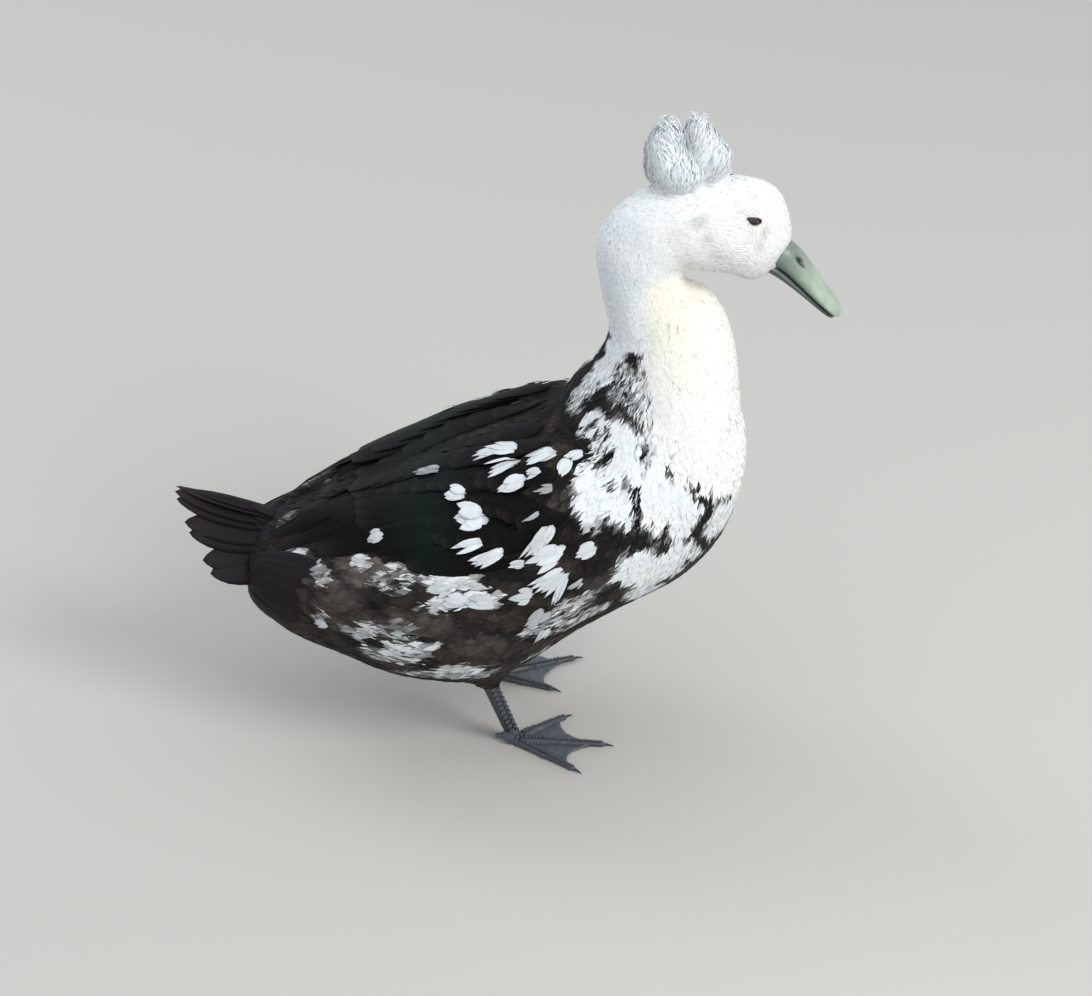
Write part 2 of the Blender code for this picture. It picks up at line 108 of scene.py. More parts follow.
bm = bmesh.new()
bmesh.ops.create_grid(bm, x_segments=1, y_segments=1, size=FLOOR_HALF)
floor = link_new("floor", mesh_of(bm, "floor"))
floor.data.materials.append(plain_material("floor_paper", FLOOR_GREY, 0.9)[0])

world = bpy.data.worlds.new("sky")
world.use_nodes = True
sky = world.node_tree.nodes["Background"]
sky.inputs["Color"].default_value = (*SKY_BLUE, 1.0)
sky.inputs["Strength"].default_value = SKY_LIGHT
bpy.context.scene.world = world


def soft_lamp(name, place, size, power, colour):
    """A round lamp with soft shadows, aimed at the middle of the bird."""
    lamp = bpy.data.lights.new(name, "AREA")
    lamp.shape = "DISK"
    lamp.size = size
    lamp.energy = power
    lamp.color = colour
    holder = bpy.data.objects.new(name, lamp)
    bpy.context.scene.collection.objects.link(holder)
    holder.location = place
    aim = LIT_PLACE - Vector(place)
    holder.rotation_euler = aim.to_track_quat("-Z", "Y").to_euler()


LIT_PLACE = Vector((0.0, 0.0, 0.2))
soft_lamp("key_lamp", (1.6, -1.5, 1.9), 1.3, 50.0, (1.0, 0.98, 0.95))
soft_lamp("back_lamp", (-1.4, 1.2, 1.8), 1.2, 13.0, SKY_BLUE)
bpy.context.scene.view_settings.view_transform = "Standard"
print("stage ready")

# %% [markdown]
# ## The skin
# Under its feathers a bird has one skin. It could be sculpted by hand, or the solids could be
# joined by booleans, which leaves a crease at each joint. Here the flesh nodes are copied, blown
# up by a hair so that the thin cuts between them close, and melted into one mesh by a voxel
# remesh. The soft knob that carries the crest and the roots of bill, eyes and legs are balls in
# the same melt. Later the surface is pulled in by the depth of the coat.


# %% Copies of the frame's solids
def merged_copy(node, grow=0.0):
    """A bmesh copy of a node with its loose triangles merged, and grown along its normals."""
    bm = bmesh.new()
    bm.from_mesh(nodes[node].data)
    bmesh.ops.remove_doubles(bm, verts=bm.verts, dist=0.01 * MM)
    bm.normal_update()
    for v in bm.verts:
        v.co += v.normal * grow
    return bm


def add_ball(bm, middle, half):
    """A ball with three half widths."""
    shape = Matrix.Translation(middle) @ Matrix.Diagonal((*half, 1.0))
    bmesh.ops.create_icosphere(bm, subdivisions=3, radius=1.0, matrix=shape)


def melted(bm, name, voxel, softness):
    """One closed surface round all the shells of a bmesh."""
    obj = link_new(name, mesh_of(bm, name))
    melt = obj.modifiers.new("melt", "REMESH")
    melt.mode = "VOXEL"
    melt.voxel_size = voxel
    soften = obj.modifiers.new("soften", "SMOOTH")
    soften.factor = 0.5
    soften.iterations = softness
    bpy.context.view_layer.update()
    graph = bpy.context.evaluated_depsgraph_get()
    mesh = bpy.data.meshes.new_from_object(obj.evaluated_get(graph), depsgraph=graph)
    obj.modifiers.clear()
    obj.data = mesh
    return obj


# %% Melt the flesh into one surface
CUT_CLOSER = 0.45 * MM
SKIN_GRAIN = 2.1 * MM
EYES = {side: (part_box("eye_" + side)[0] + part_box("eye_" + side)[1]) / 2 for side in SIDES}
BILL_BASE = Vector((0.1747, 0.0, 0.3645))
BILL_ROOT = Vector((13.5, 13.0, 16.5)) * MM     # half widths of the ball that meets the bill
SOCKET = 5.4 * MM           # radius of the flesh round the eyeball
THIGH = 9 * MM              # radius of the flesh round the top of the leg

Puff = namedtuple("Puff", "middle half")
PUFFS = [Puff(Vector(middle) * MM, Vector(half) * MM) for middle, half in (
    ((106.0, -3, 432), (14.5, 21.0, 23.0)), ((109.5, -2, 446), (8.5, 14.0, 13.5)),
    ((131.0, 3, 432), (14.5, 21.0, 22.0)), ((127.5, 2, 446), (8.5, 14.0, 13.5)),
    ((115.2, 0, 422), (24.5, 25.0, 18.0)), ((136.5, 1, 428), (15.5, 18.0, 17.0)))]
KNOB_SHARE = 0.86           # size of the soft knob inside each puff of the crest

bm = bmesh.new()
for node in ("head", "neck", "trunk", "wing_right", "wing_left"):
    part = bpy.data.meshes.new(node + "_copy")
    copy = merged_copy(node, CUT_CLOSER)
    copy.to_mesh(part)
    copy.free()
    bm.from_mesh(part)
    bpy.data.meshes.remove(part)
for puff in PUFFS:
    add_ball(bm, puff.middle, puff.half * KNOB_SHARE)
add_ball(bm, BILL_BASE, BILL_ROOT)
for side in SIDES:
    add_ball(bm, EYES[side], (SOCKET,) * 3)
    low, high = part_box("leg_" + side)
    hip = Vector((low.x + 6 * MM, (low.y + high.y) / 2 + 3 * MM * SIDES[side], high.z - 7 * MM))
    add_ball(bm, hip, (THIGH,) * 3)
skin = melted(bm, "skin", SKIN_GRAIN, 3)
print("skin", len(skin.data.polygons), "faces")

# %% [markdown]
# ## How the coat lies
# Feathers grow in tracts. Each row of this table is a place seen from the side, the lean of the
# feathers there (0 points to the tail, 90 to the ground, 180 to the bill), their length and the
# depth of the coat, both in millimetres. The lie could also be combed by hand or read from a
# painted map. Blending the rows by distance is shorter, and it gives a smooth lie everywhere.

# %% The lie table
Lie = namedtuple("Lie", "x z lean length depth")
LIES = [Lie(*row) for row in (
    (175, 386, -60, 2.6, 0.9), (183, 376, -40, 2.4, 0.7), (174, 353, -8, 2.5, 0.9),
    (158, 349, 4, 3.0, 1.2), (150, 411, -12, 3.4, 1.2), (122, 414, 6, 4.0, 1.3),
    (96, 404, 36, 4.4, 1.5), (79, 382, 72, 5.2, 1.8), (150, 380, 4, 3.0, 1.1),
    (124, 380, 18, 4.0, 1.4), (134, 352, 30, 4.2, 1.4),
    (68, 350, 90, 6.5, 2.2), (96, 350, 78, 5.8, 1.9), (72, 312, 88, 8.0, 2.4),
    (104, 318, 84, 7.5, 2.2), (66, 278, 70, 10, 2.8), (46, 256, 42, 13, 3.4),
    (118, 337, 128, 7.0, 2.0), (140, 330, 118, 7.5, 2.2), (156, 300, 100, 9.0, 2.4),
    (128, 290, 88, 9.0, 2.4), (166, 255, 94, 11, 2.8), (110, 245, 80, 12, 3.0),
    (166, 215, 80, 12, 3.2), (150, 172, 52, 13, 3.6), (120, 200, 70, 14, 3.6),
    (108, 135, 26, 14, 4.0), (60, 215, 50, 15, 4.0), (22, 238, 18, 16, 4.0),
    (-40, 222, 13, 18, 4.2), (-100, 190, 13, 18, 4.2), (-150, 160, -6, 17, 3.6),
    (60, 150, 26, 17, 4.4), (10, 160, 10, 19, 4.4), (55, 100, 12, 17, 4.2),
    (0, 110, 6, 20, 4.6), (0, 62, 4, 17, 4.0), (-70, 150, 4, 20, 4.4),
    (-70, 105, -6, 20, 4.6), (-70, 66, -12, 17, 4.0), (-130, 112, -22, 19, 4.2),
    (-14, 56, 60, 9, 2.4),
)]
LIE_PLACES = np.array([(lie.x, lie.z) for lie in LIES]) * MM
LIE_VALUES = np.array([(math.cos(math.radians(lie.lean)), math.sin(math.radians(lie.lean)),
                        lie.length * MM, lie.depth * MM) for lie in LIES])
LIE_BLUR = 9 * MM
PRESSED = 0.55              # the coat lies flat on a calm bird
SLEEK = 8 * MM              # shorter feathers lie flatter still
FLATTEST = 0.55             # share that is left of the depth on the shortest feathers


def coat_at(points):
    """Direction of the lie, feather length and coat depth at points of the body."""
    flat = points[:, (0, 2)]
    apart = ((flat[:, None, :] - LIE_PLACES[None]) ** 2).sum(2)
    weight = 1.0 / (apart + LIE_BLUR ** 2) ** 2
    values = weight @ LIE_VALUES / weight.sum(1)[:, None]
    way = np.stack([-values[:, 0], np.zeros(len(points)), -values[:, 1]], 1)
    length = values[:, 2]
    loose = FLATTEST + (1 - FLATTEST) * np.clip((length - SLEEK) / SLEEK, 0, 1)
    return way, length, values[:, 3] * (PRESSED * loose)


def unit(vectors):
    """The same directions, each with a length of one."""
    return vectors / np.maximum(np.linalg.norm(vectors, axis=1), 1e-9)[:, None]


def flattened(way, normals):
    """Directions laid flat onto the surface that has these normals."""
    return unit(way - normals * (way * normals).sum(1)[:, None])


def vertex_places(mesh):
    places = np.empty(len(mesh.vertices) * 3)
    mesh.vertices.foreach_get("co", places)
    return places.reshape(-1, 3)


def vertex_normals(mesh):
    normals = np.empty(len(mesh.vertices) * 3)
    mesh.vertex_normals.foreach_get("vector", normals)
    return normals.reshape(-1, 3)


def tree_of(mesh):
    """A search tree for rays and nearest places on a mesh."""
    return BVHTree.FromPolygons([v.co for v in mesh.vertices], [p.vertices for p in mesh.polygons])


# %% Pull the skin in by the depth of the coat
outline = vertex_places(skin.data)
coat_tree = tree_of(skin.data)
_, _, depth = coat_at(outline)
pulled = outline - vertex_normals(skin.data) * (depth + CUT_CLOSER)[:, None]
skin.data.vertices.foreach_set("co", pulled.ravel())
skin.data.update()
print("coat depth", (depth.min() / MM).round(1), "to", (depth.max() / MM).round(1), "mm")

# %% [markdown]
# ## Folds
# A few soft swellings and creases make the head and neck look alive: full cheeks, the hollow
# before the eye, and the fold where the drawn-back head rests on the neck. A sculptor would
# brush them on. Here each is a row that moves the skin in or out round a place seen from the
# side, and fades towards the top of the head. Sizes are in millimetres.

# %% Press the folds
Fold = namedtuple("Fold", "x z size rise")
FOLDS = [Fold(*row) for row in (
    (152, 380, 14, 1.5), (128, 396, 6, -0.9), (133, 384, 6, -1.0), (137, 371, 6, -0.8),
    (172, 386, 5, -0.8), (169, 377, 5, -0.5), (162, 405, 6, 0.7), (115, 354, 5, -1.7),
    (108, 353, 5, -1.5), (102, 347, 6, -1.3), (97, 337, 7, -1.1), (93, 326, 7, -0.7),
)]
places, normals = vertex_places(skin.data), vertex_normals(skin.data)
rise = np.zeros(len(places))
for fold in FOLDS:
    apart = np.hypot(places[:, 0] - fold.x * MM, places[:, 2] - fold.z * MM)
    rise += fold.rise * MM * np.exp(-(apart / (fold.size * MM)) ** 2) * np.abs(normals[:, 1])
skin.data.vertices.foreach_set("co", (places + normals * rise[:, None]).ravel())
skin.data.update()
print("folds move the skin by", (rise.min() / MM).round(1), "to", (rise.max() / MM).round(1), "mm")

# %% [markdown]
# ## Lids
# A duck's eye is a ball set a little way into the head, and the lids are skin drawn over it.
# Lids could be pieces of their own, but then a seam shows. So the skin round each eye is divided
# finely, points inside the slit sink behind the ball, and points round it are wrapped onto a
# shell just larger than the ball. That leaves a slit with an upper and a lower lid.

# %% Shape the lids
EYE_RADIUS = 5.2 * MM
LID_THICK = 0.75 * MM
LID_ROLL = 0.4              # the lids are thicker by this share along the slit
SLIT_HALF = 4.1 * MM        # half length of the opening between the lids
SLIT_UP = 1.8 * MM
SLIT_DOWN = 2.2 * MM
SLIT_TILT = math.radians(-11.0)
ALMOND = 1.7                # 2 would be a full oval, 1 a diamond
LID_REACH = 11 * MM
SUNK = 0.2                  # skin inside the slit sinks to this share of the eye's radius
EYE_LOOK = {side: Vector((0.22, sign, 0.16)).normalized() for side, sign in SIDES.items()}


def eye_axes(side):
    """Along the slit, across it, and out of the head."""
    out = EYE_LOOK[side]
    along = Vector((math.cos(SLIT_TILT), 0.0, math.sin(SLIT_TILT)))
    along = (along - out * along.dot(out)).normalized()
    up = out.cross(along)
    if up.z < 0:
        up = -up
    return along, up, out


def seen_by_eye(points, side):
    """Places along the slit, across it and out of the head, and which ones are near the lids."""
    away = points - np.array(EYES[side])
    along, up, out = (away @ np.array(axis) for axis in eye_axes(side))
    return along, up, out, np.linalg.norm(away, axis=1) < LID_REACH


def slit_share(a, b):
    """0 in the middle of the slit, 1 on its edge."""
    half = np.where(np.greater(b, 0), SLIT_UP, SLIT_DOWN)
    return (np.abs(a / SLIT_HALF) ** ALMOND + np.abs(b / half) ** ALMOND) ** (1 / ALMOND)


def step(low, high, values):
    """A soft step from 0 at low to 1 at high, for numbers and arrays."""
    t = np.clip((values - low) / (high - low), 0.0, 1.0)
    return t * t * (3 - 2 * t)


def near_an_eye(point, reach):
    return min((point - EYES[side]).length for side in SIDES) < reach


bm = bmesh.new()
bm.from_mesh(skin.data)
for reach in (LID_REACH, LID_REACH * 0.75, LID_REACH * 0.62):
    near = [e for e in bm.edges if near_an_eye((e.verts[0].co + e.verts[1].co) / 2, reach)]
    bmesh.ops.subdivide_edges(bm, edges=near, cuts=1, use_grid_fill=True)
lid_verts = [v for v in bm.verts if near_an_eye(v.co, LID_REACH)]
for _ in range(3):
    bmesh.ops.smooth_vert(bm, verts=lid_verts, factor=0.5, use_axis_x=True, use_axis_y=True,
                          use_axis_z=True)
for v in lid_verts:
    side = "left" if v.co.y > 0 else "right"
    along, up, out = eye_axes(side)
    local = v.co - EYES[side]
    a, b, c = local.dot(along), local.dot(up), local.dot(out)
    if c < 0:
        continue
    share = slit_share(a, b)
    shell = EYE_RADIUS + LID_THICK * (1.0 + LID_ROLL * step(1.5, 1.05, share))
    over = math.sqrt(max(0.0, shell ** 2 - a * a - b * b))
    hug = step(2.1, 1.15, share) * step(1.5 * MM, 3.5 * MM, over)
    level = max(c + (over - c) * hug, over)
    level += (SUNK * EYE_RADIUS - level) * step(1.04, 0.90, share)
    v.co += out * (level - c)
bmesh.ops.triangulate(bm, faces=[f for f in bm.faces if len(f.verts) > 4])
bm.to_mesh(skin.data)
bm.free()
skin.data.update()
skin.data.shade_smooth()
print("skin with lids", len(skin.data.vertices), "points")

# %% [markdown]
# ## Markings
# This duck is magpie coloured: white head, neck and breast, and a black body that is splashed
# with white. The marks could be painted on an image, but then skin and feathers need one layout
# between them. Here one function gives the colour of any place, so that both agree. The white
# front ends along a border. Behind it lie white masses that have run together, with dark spots
# left in them, grey smudges of painted shade in the creases and hollows of the head, and tan
# patches on the flank. The white is painted bluish as cool shade on the nape and behind the
# border. Sizes are half lengths and half widths in millimetres, and turn is measured like the
# lean of a feather.

# %% Border, masses and spots
Mark = namedtuple("Mark", "x z long wide turn tone")
BORDER = ((150, 188), (188, 172), (196, 155), (207, 134), (224, 113), (250, 101), (280, 98),
          (300, 90), (308, 60), (316, 20))
MASSES = [Mark(*row) for row in (
    (58, 219, 19, 11, 90, 1.0), (80, 250, 14, 8, -80, 0.95), (80, 231, 14, 10, 30, 0.95),
    (77, 208, 14, 9, -60, 0.95), (103, 212, 27, 11, 90, 1.0), (121, 196, 19, 12, 90, 0.95),
    (148, 180, 14, 16, 28, 0.9), (97, 156, 26, 15, -25, 1.0), (121, 168, 11, 9, 5, 0.9),
    (59, 255, 10, 8, 22, 0.9), (65, 243, 9, 6, 19, 0.55), (79, 274, 17, 7, -66, 0.32),
    (52, 274, 11, 9, 60, 0.42), (48, 138, 18, 10, 33, 0.4), (-35, 165, 16, 8, 2, 0.85),
    (-27, 149, 23, 5, 11, 0.8), (-97, 165, 5, 5, 0, 0.7), (-125, 153, 7, 7, 0, 0.45),
    (-147, 166, 8, 9, 70, 0.35), (-77, 98, 20, 9, 8, 0.6), (-46, 76, 26, 6, 4, 0.55),
    (-64, 172, 14, 6, 10, 0.28), (24, 122, 12, 5, 10, 0.42), (57, 127, 22, 7, 20, 0.5),
    (-70, 122, 16, 7, 6, 0.22), (20, 88, 10, 5, 20, 0.4), (-8, 226, 12, 4, 50, 0.3),
    (45, 264, 9, 8, -50, 0.45), (53, 276, 9, 10, -50, 0.62), (61, 288, 9, 11, -50, 0.85),
    (68, 300, 8, 11, -60, 0.9),
    (-98, 118, 12, 6, 20, 0.6), (-69, 106, 18, 8, 14, 0.7), (-30, 86, 16, 7, 8, 0.65),
    (-12, 78, 10, 5, 30, 0.5), (-72, 160, 14, 8, 4, 0.34), (-58, 168, 10, 4, 12, 0.36),
    (-138, 164, 9, 7, 10, 0.4), (-125, 126, 7, 2.4, 40, 0.5), (92, 268, 14, 5, -80, 0.35),
    (106, 240, 18, 7, 88, 0.9), (117, 219, 16, 6, 60, 0.92), (132, 200, 12, 5, 40, 0.85),
    (88, 246, 9, 5, 70, 0.8), (84, 286, 9, 5, -60, 0.55),
    (97, 131, 14, 8, -25, 0.9), (90, 137, 10, 6, -20, 0.8), (114, 147, 13, 6, -40, 0.75),
    (129, 161, 12, 6, -48, 0.7), (160, 197, 11, 6, 64, 0.97), (163, 184, 8, 4, 60, 0.9),
    (166, 190, 12, 15, 90, 0.97),
    (92, 284, 15, 5, -84, 0.62), (96, 260, 14, 5, 86, 0.72),
)]
SPOTS = [Mark(*row) for row in (
    (87, 293, 6, 4, -54, 0.2), (80, 266, 8, 4, -60, 0.05), (91, 259, 5, 2.5, -50, 0.25),
    (98, 236, 8, 1.8, 70, 0.35), (84, 221, 9, 3.0, -69, 0.3), (91, 211, 8, 2.0, -80, 0.4),
    (112, 228, 7, 2.2, -78, 0.3), (136, 203, 7, 3.4, -19, 0.0), (150, 196, 7, 2.6, -24, 0.3),
    (94, 188, 7, 4, -10, 0.05), (124, 175, 6, 2.2, -28, 0.2), (57, 254, 5, 2.2, 35, 0.1),
    (72, 141, 10, 8, 21, 0.05), (70, 172, 12, 5, 30, 0.05), (108, 184, 8, 3, 60, 0.1),
)]
# Grey smudges of painted shade, most of them in the creases and hollows of the head.
SHADE_SMUDGES = [Mark(*row) for row in (
    (128, 396, 5, 3.4, 20, 0.74), (133, 384, 4, 2.5, 50, 0.84), (113, 386, 7, 3, 20, 0.93),
    (164, 410, 3, 2.4, 0, 0.86), (172, 386, 6, 2.6, 60, 0.78), (169, 377, 3, 3, 0, 0.86),
    (92, 388, 6, 3, 0, 0.94), (163, 397, 7, 2, 10, 0.88),
)]
TANS = [Mark(*row) for row in (
    (-86, 165, 26, 10, 6, 0.90), (-108, 140, 16, 9, 20, 0.45), (-92, 124, 18, 6, 12, 0.40),
    (-20, 112, 20, 7, 8, 0.45), (-56, 130, 24, 8, 4, 0.55), (66, 156, 18, 6, 24, 0.45),
    (-136, 150, 10, 8, 10, 0.5), (36, 214, 12, 5, 40, 0.35), (74, 258, 10, 5, 60, 0.4),
)]
MARK_GROWTH = 1.12
WAVES = 7
WAVE_SUM = 3.2              # seven waves seldom add up to more
FULL_TURN = 6.28


def ripple(points, size, seed):
    """Smooth uneven values, mostly between -1 and 1, with bumps of the given size."""
    draw = np.random.default_rng(seed)
    total = np.zeros(len(points))
    for _ in range(WAVES):
        way = draw.normal(size=3)
        way *= draw.uniform(0.6, 1.5) / np.linalg.norm(way) / size
        total += np.sin(points @ way * 2.0 + draw.uniform(0, FULL_TURN))
    return total / WAVE_SUM


# %% Put each mark on the skin
skin_tree = tree_of(skin.data)


def side_point(x, z, sign):
    """The skin under the place on the coat that lies at x, z in millimetres, and its normal."""
    start = Vector((x * MM, sign * 0.3, z * MM))
    spot = coat_tree.ray_cast(start, Vector((0.0, -sign, 0.0)))[0]
    return skin_tree.find_nearest(spot or Vector((x * MM, sign * 0.02, z * MM)))[:2]


def axis_at(normal, turn):
    """The direction on the surface that leans by turn from the tail towards the ground."""
    turn = math.radians(turn)
    way = Vector((-math.cos(turn), 0.0, -math.sin(turn)))
    return (way - normal * way.dot(normal)).normalized()


Placed = namedtuple("Placed", "spot along across long wide tone")
TURN_DRIFT = 3.0            # degrees of turn for each millimetre of drift


def place_marks(marks, sign, drift=0.0, seed=0):
    """The marks of one side on the skin, moved and turned at random by about drift."""
    draw = np.random.default_rng(seed)
    placed = []
    for mark in marks:
        dx, dz, turn = draw.normal(size=3) * drift
        spot, normal = side_point(mark.x + dx, mark.z + dz, sign)
        along = axis_at(normal, mark.turn + turn * TURN_DRIFT)
        placed.append(Placed(np.array(spot), np.array(along), np.array(normal.cross(along)),
                             mark.long * MARK_GROWTH * MM, mark.wide * MARK_GROWTH * MM, mark.tone))
    return placed


FAR_DRIFT = 5.0             # the left side has the same marks, each moved and turned a little


def on_both_sides(marks, drift, seed):
    return place_marks(marks, -1.0) + place_marks(marks, 1.0, drift, seed)


masses = on_both_sides(MASSES, FAR_DRIFT, 11)
spots = on_both_sides(SPOTS, FAR_DRIFT, 12)
shade_smudges = on_both_sides(SHADE_SMUDGES, 1.0, 13)
tans = on_both_sides(TANS, FAR_DRIFT, 14)
print(len(masses), "white masses,", len(spots), "dark spots")


def inside(points, mark, ragged, edge=0.22):
    """1 inside a mark and 0 outside it, with an edge that wanders by ragged."""
    away = points - mark.spot
    share = np.sqrt((away @ mark.along / mark.long) ** 2 + (away @ mark.across / mark.wide) ** 2)
    close = np.linalg.norm(away, axis=1) < 2.2 * max(mark.long, mark.wide)
    return step(1.0 + edge, 1.0 - edge, share + ragged) * close


# %% Colours of the plumage
WHITE = np.array((0.85, 0.855, 0.85))
CREAM = np.array((0.86, 0.84, 0.70))
CREAM_GLOWS = ((107, 333, 6, 34, 0.55), (122, 318, 14, 62, 0.5))     # x, z, near, far and share
# Bluish white: painted cool shade, the look of white plumage in the shade of a blue sky.
SKY_SHADED_WHITE = np.array((0.73, 0.785, 0.825))
BLACK = np.array((0.0105, 0.0095, 0.0095))
TAIL_DARK = np.array((0.017, 0.014, 0.0165))
BROWN = np.array((0.050, 0.039, 0.033))
TAN = np.array((0.108, 0.094, 0.086))


def mix(first, second, share):
    """Colours between two others. The share has one value for each place."""
    return first + (second - first) * share[:, None]


def border_at(z):
    """How far forward the black reaches at a height, in millimetres."""
    return np.interp(z, *np.transpose(BORDER))


def whiteness(points):
    """How white the plumage is: 1 on the front, 0 on the black body, between on grey parts."""
    x, z = points[:, 0] / MM, points[:, 2] / MM
    wander = ripple(points, 6 * MM, 5) * 4.0 + ripple(points, 2.5 * MM, 6) * 1.5
    white = step(-2.5, 2.5, x - border_at(z) + wander)
    ragged = ripple(points, 3 * MM, 7) * 0.16
    for mark in masses:
        white = np.maximum(white, mark.tone * inside(points, mark, ragged))
    for mark in spots:
        share = inside(points, mark, ragged)
        white = white * (1 - share) + np.minimum(white, mark.tone) * share
    return white


def palette(points):
    """The dark and the pale colour of the plumage at each place, with painted cool shade in the
    pale.
    """
    x, _, z = (points / MM).T
    # Painted shade: the white turns bluish on the nape and on the masses behind the border.
    nape_shade = step(116, 86, x) * step(286, 310, z)
    behind = step(4, -10, x - border_at(z))
    sky_shade = 0.6 * nape_shade + 0.65 * behind + 0.25 * ripple(points, 9 * MM, 8)
    pale = mix(WHITE, SKY_SHADED_WHITE, np.clip(sky_shade, 0, 0.8))
    throat = step(86, 108, x) * step(360, 345, z)
    cream = sum(share * step(far, near, np.hypot(x - at_x, z - at_z))
                for at_x, at_z, near, far, share in CREAM_GLOWS)
    pale = mix(pale, CREAM, np.clip(cream, 0, 0.85) * throat)
    # Painted shade: the smudges grey the white in the creases and hollows of the head.
    for mark in shade_smudges:
        pale = pale * (1 - (1 - mark.tone) * inside(points, mark, 0.0, 0.95))[:, None]
    brown = step(0.0, 1.2, ripple(points, 10 * MM, 9) + step(185, 120, z) * 0.9 - 0.2)
    dark = mix(BLACK, BROWN, brown * 0.7)
    ragged = ripple(points, 4 * MM, 10) * 0.3
    for mark in tans:
        dark = mix(dark, TAN, mark.tone * inside(points, mark, ragged, 0.5))
    dark = mix(dark, TAIL_DARK, step(-140, -156, x))
    return dark, pale


def plumage(points):
    """Colour of the plumage at each place."""
    return mix(*palette(points), whiteness(points))


# %% [markdown]
# ## Plumage materials
# All surfaces of the bird share the start of one recipe: the colour comes from an attribute on
# the mesh and a noise breaks it up. On plumage, slanting barbs run off the shaft of every vane.
# They could be cut into the mesh, at a hundred times the triangles. Instead they are relief that
# reads a map of real distances on the feather, so that they have the same pitch on every size.
# Flight feathers are glossier than the soft coat.


# %% Plumage material
def add_node(tree, kind, **settings):
    """A new node. The settings name its properties or, with _ for a space, its inputs."""
    node = tree.nodes.new(kind)
    for name, value in settings.items():
        if hasattr(node, name):
            setattr(node, name, value)
        else:
            node.inputs[name.replace("_", " ")].default_value = value
    return node


def maths(tree, operation, first, second):
    """A Math node. First and second are numbers or outputs of other nodes."""
    node = tree.nodes.new("ShaderNodeMath")
    node.operation = operation
    for socket, value in zip(node.inputs, (first, second)):
        if isinstance(value, (int, float)):
            socket.default_value = value
        else:
            tree.links.new(value, socket)
    return node.outputs[0]


def clouded_material(name, roughness, scale, detail, spread, least, most):
    """Colour from the attribute times a noise that varies from least to most."""
    mat, tree, shader = plain_material(name, (0.5, 0.5, 0.5), roughness)
    colour = add_node(tree, "ShaderNodeAttribute", attribute_name="plume")
    place = add_node(tree, "ShaderNodeTexCoord")
    noise = add_node(tree, "ShaderNodeTexNoise", Scale=scale, Detail=detail, Roughness=0.6)
    tree.links.new(place.outputs["Object"], noise.inputs["Vector"])
    level = add_node(tree, "ShaderNodeMapRange", From_Min=0.5 - spread, From_Max=0.5 + spread,
                     To_Min=least, To_Max=most)
    tree.links.new(noise.outputs["Fac"], level.inputs["Value"])
    blend = add_node(tree, "ShaderNodeMix", data_type="RGBA", blend_type="MULTIPLY")
    blend.inputs["Factor"].default_value = 1.0
    tree.links.new(colour.outputs["Color"], blend.inputs["A"])
    tree.links.new(level.outputs["Result"], blend.inputs["B"])
    tree.links.new(blend.outputs["Result"], shader.inputs["Base Color"])
    return mat, tree, shader, place.outputs["Object"], noise.outputs["Fac"]


def add_relief(tree, shader, height, strength, distance):
    relief = add_node(tree, "ShaderNodeBump", Strength=strength, Distance=distance)
    tree.links.new(height, relief.inputs["Height"])
    tree.links.new(relief.outputs["Normal"], shader.inputs["Normal"])


def plumage_material(name, roughness, sheen, gloss, barbs, bump):
    """Clouded colour with relief from the noise and, where barbs isn't 0, from slanting barbs."""
    mat, tree, shader, _, height = clouded_material(name, roughness, 420.0, 3.0, 0.25, 0.92, 1.03)
    shader.inputs["Sheen Weight"].default_value = sheen
    shader.inputs["Sheen Roughness"].default_value = 0.45
    shader.inputs["Specular IOR Level"].default_value = gloss
    if barbs:
        vane_map = add_node(tree, "ShaderNodeUVMap", uv_map="vane")
        split = add_node(tree, "ShaderNodeSeparateXYZ")
        tree.links.new(vane_map.outputs["UV"], split.inputs["Vector"])
        outward = maths(tree, "ABSOLUTE", split.outputs["X"], 0)
        outward = maths(tree, "MULTIPLY", outward, BARB_SLANT)
        slant = maths(tree, "SUBTRACT", split.outputs["Y"], outward)
        comb = maths(tree, "SINE", maths(tree, "MULTIPLY", slant, barbs), 0)
        height = maths(tree, "ADD", maths(tree, "MULTIPLY", comb, 0.5), height)
    add_relief(tree, shader, height, bump, 0.4 * MM)
    return mat


BARB_PITCH = 2 * math.pi / 0.5      # barbs 0.5 mm apart along the shaft
BARB_SLANT = 0.9            # millimetres towards the tip for each millimetre out
down_finish = plumage_material("soft_plumage", 0.80, 0.04, 0.08, BARB_PITCH, 0.20)
vane_finish = plumage_material("flight_plumage", 0.48, 0.0, 0.05, BARB_PITCH, 0.20)
skin_finish = plumage_material("plumage_ground", 0.9, 0.0, 0.05, 0, 0.5)


# %% [markdown]
# ## Finishing a piece
# Every piece is finished in the same few steps, so they are one function. The colours could be a
# material for each shade, but a colour stored at each point lets them run into one another.
# The skin is the first piece. It gets the colours of the plumage, and bare skin on the lids.

# %% Store colours and finish a piece
def finish_piece(obj, finish, slot, *replaced):
    """Give a piece smooth shading and its material, hang it under the root and hide what it
    replaces.
    """
    obj.data.shade_smooth()
    obj.data.materials.clear()
    obj.data.materials.append(finish)
    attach(obj, "root")
    if replaced:
        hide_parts(*replaced)
    print(obj.name, len(obj.data.polygons), "faces")


def colour_mesh(mesh, colours):
    """Store one colour for each point."""
    store = mesh.attributes.new("plume", "FLOAT_COLOR", "POINT")
    rgba = np.ones((len(mesh.vertices), 4), np.float32)
    rgba[:, :3] = colours
    store.data.foreach_set("color", rgba.ravel())


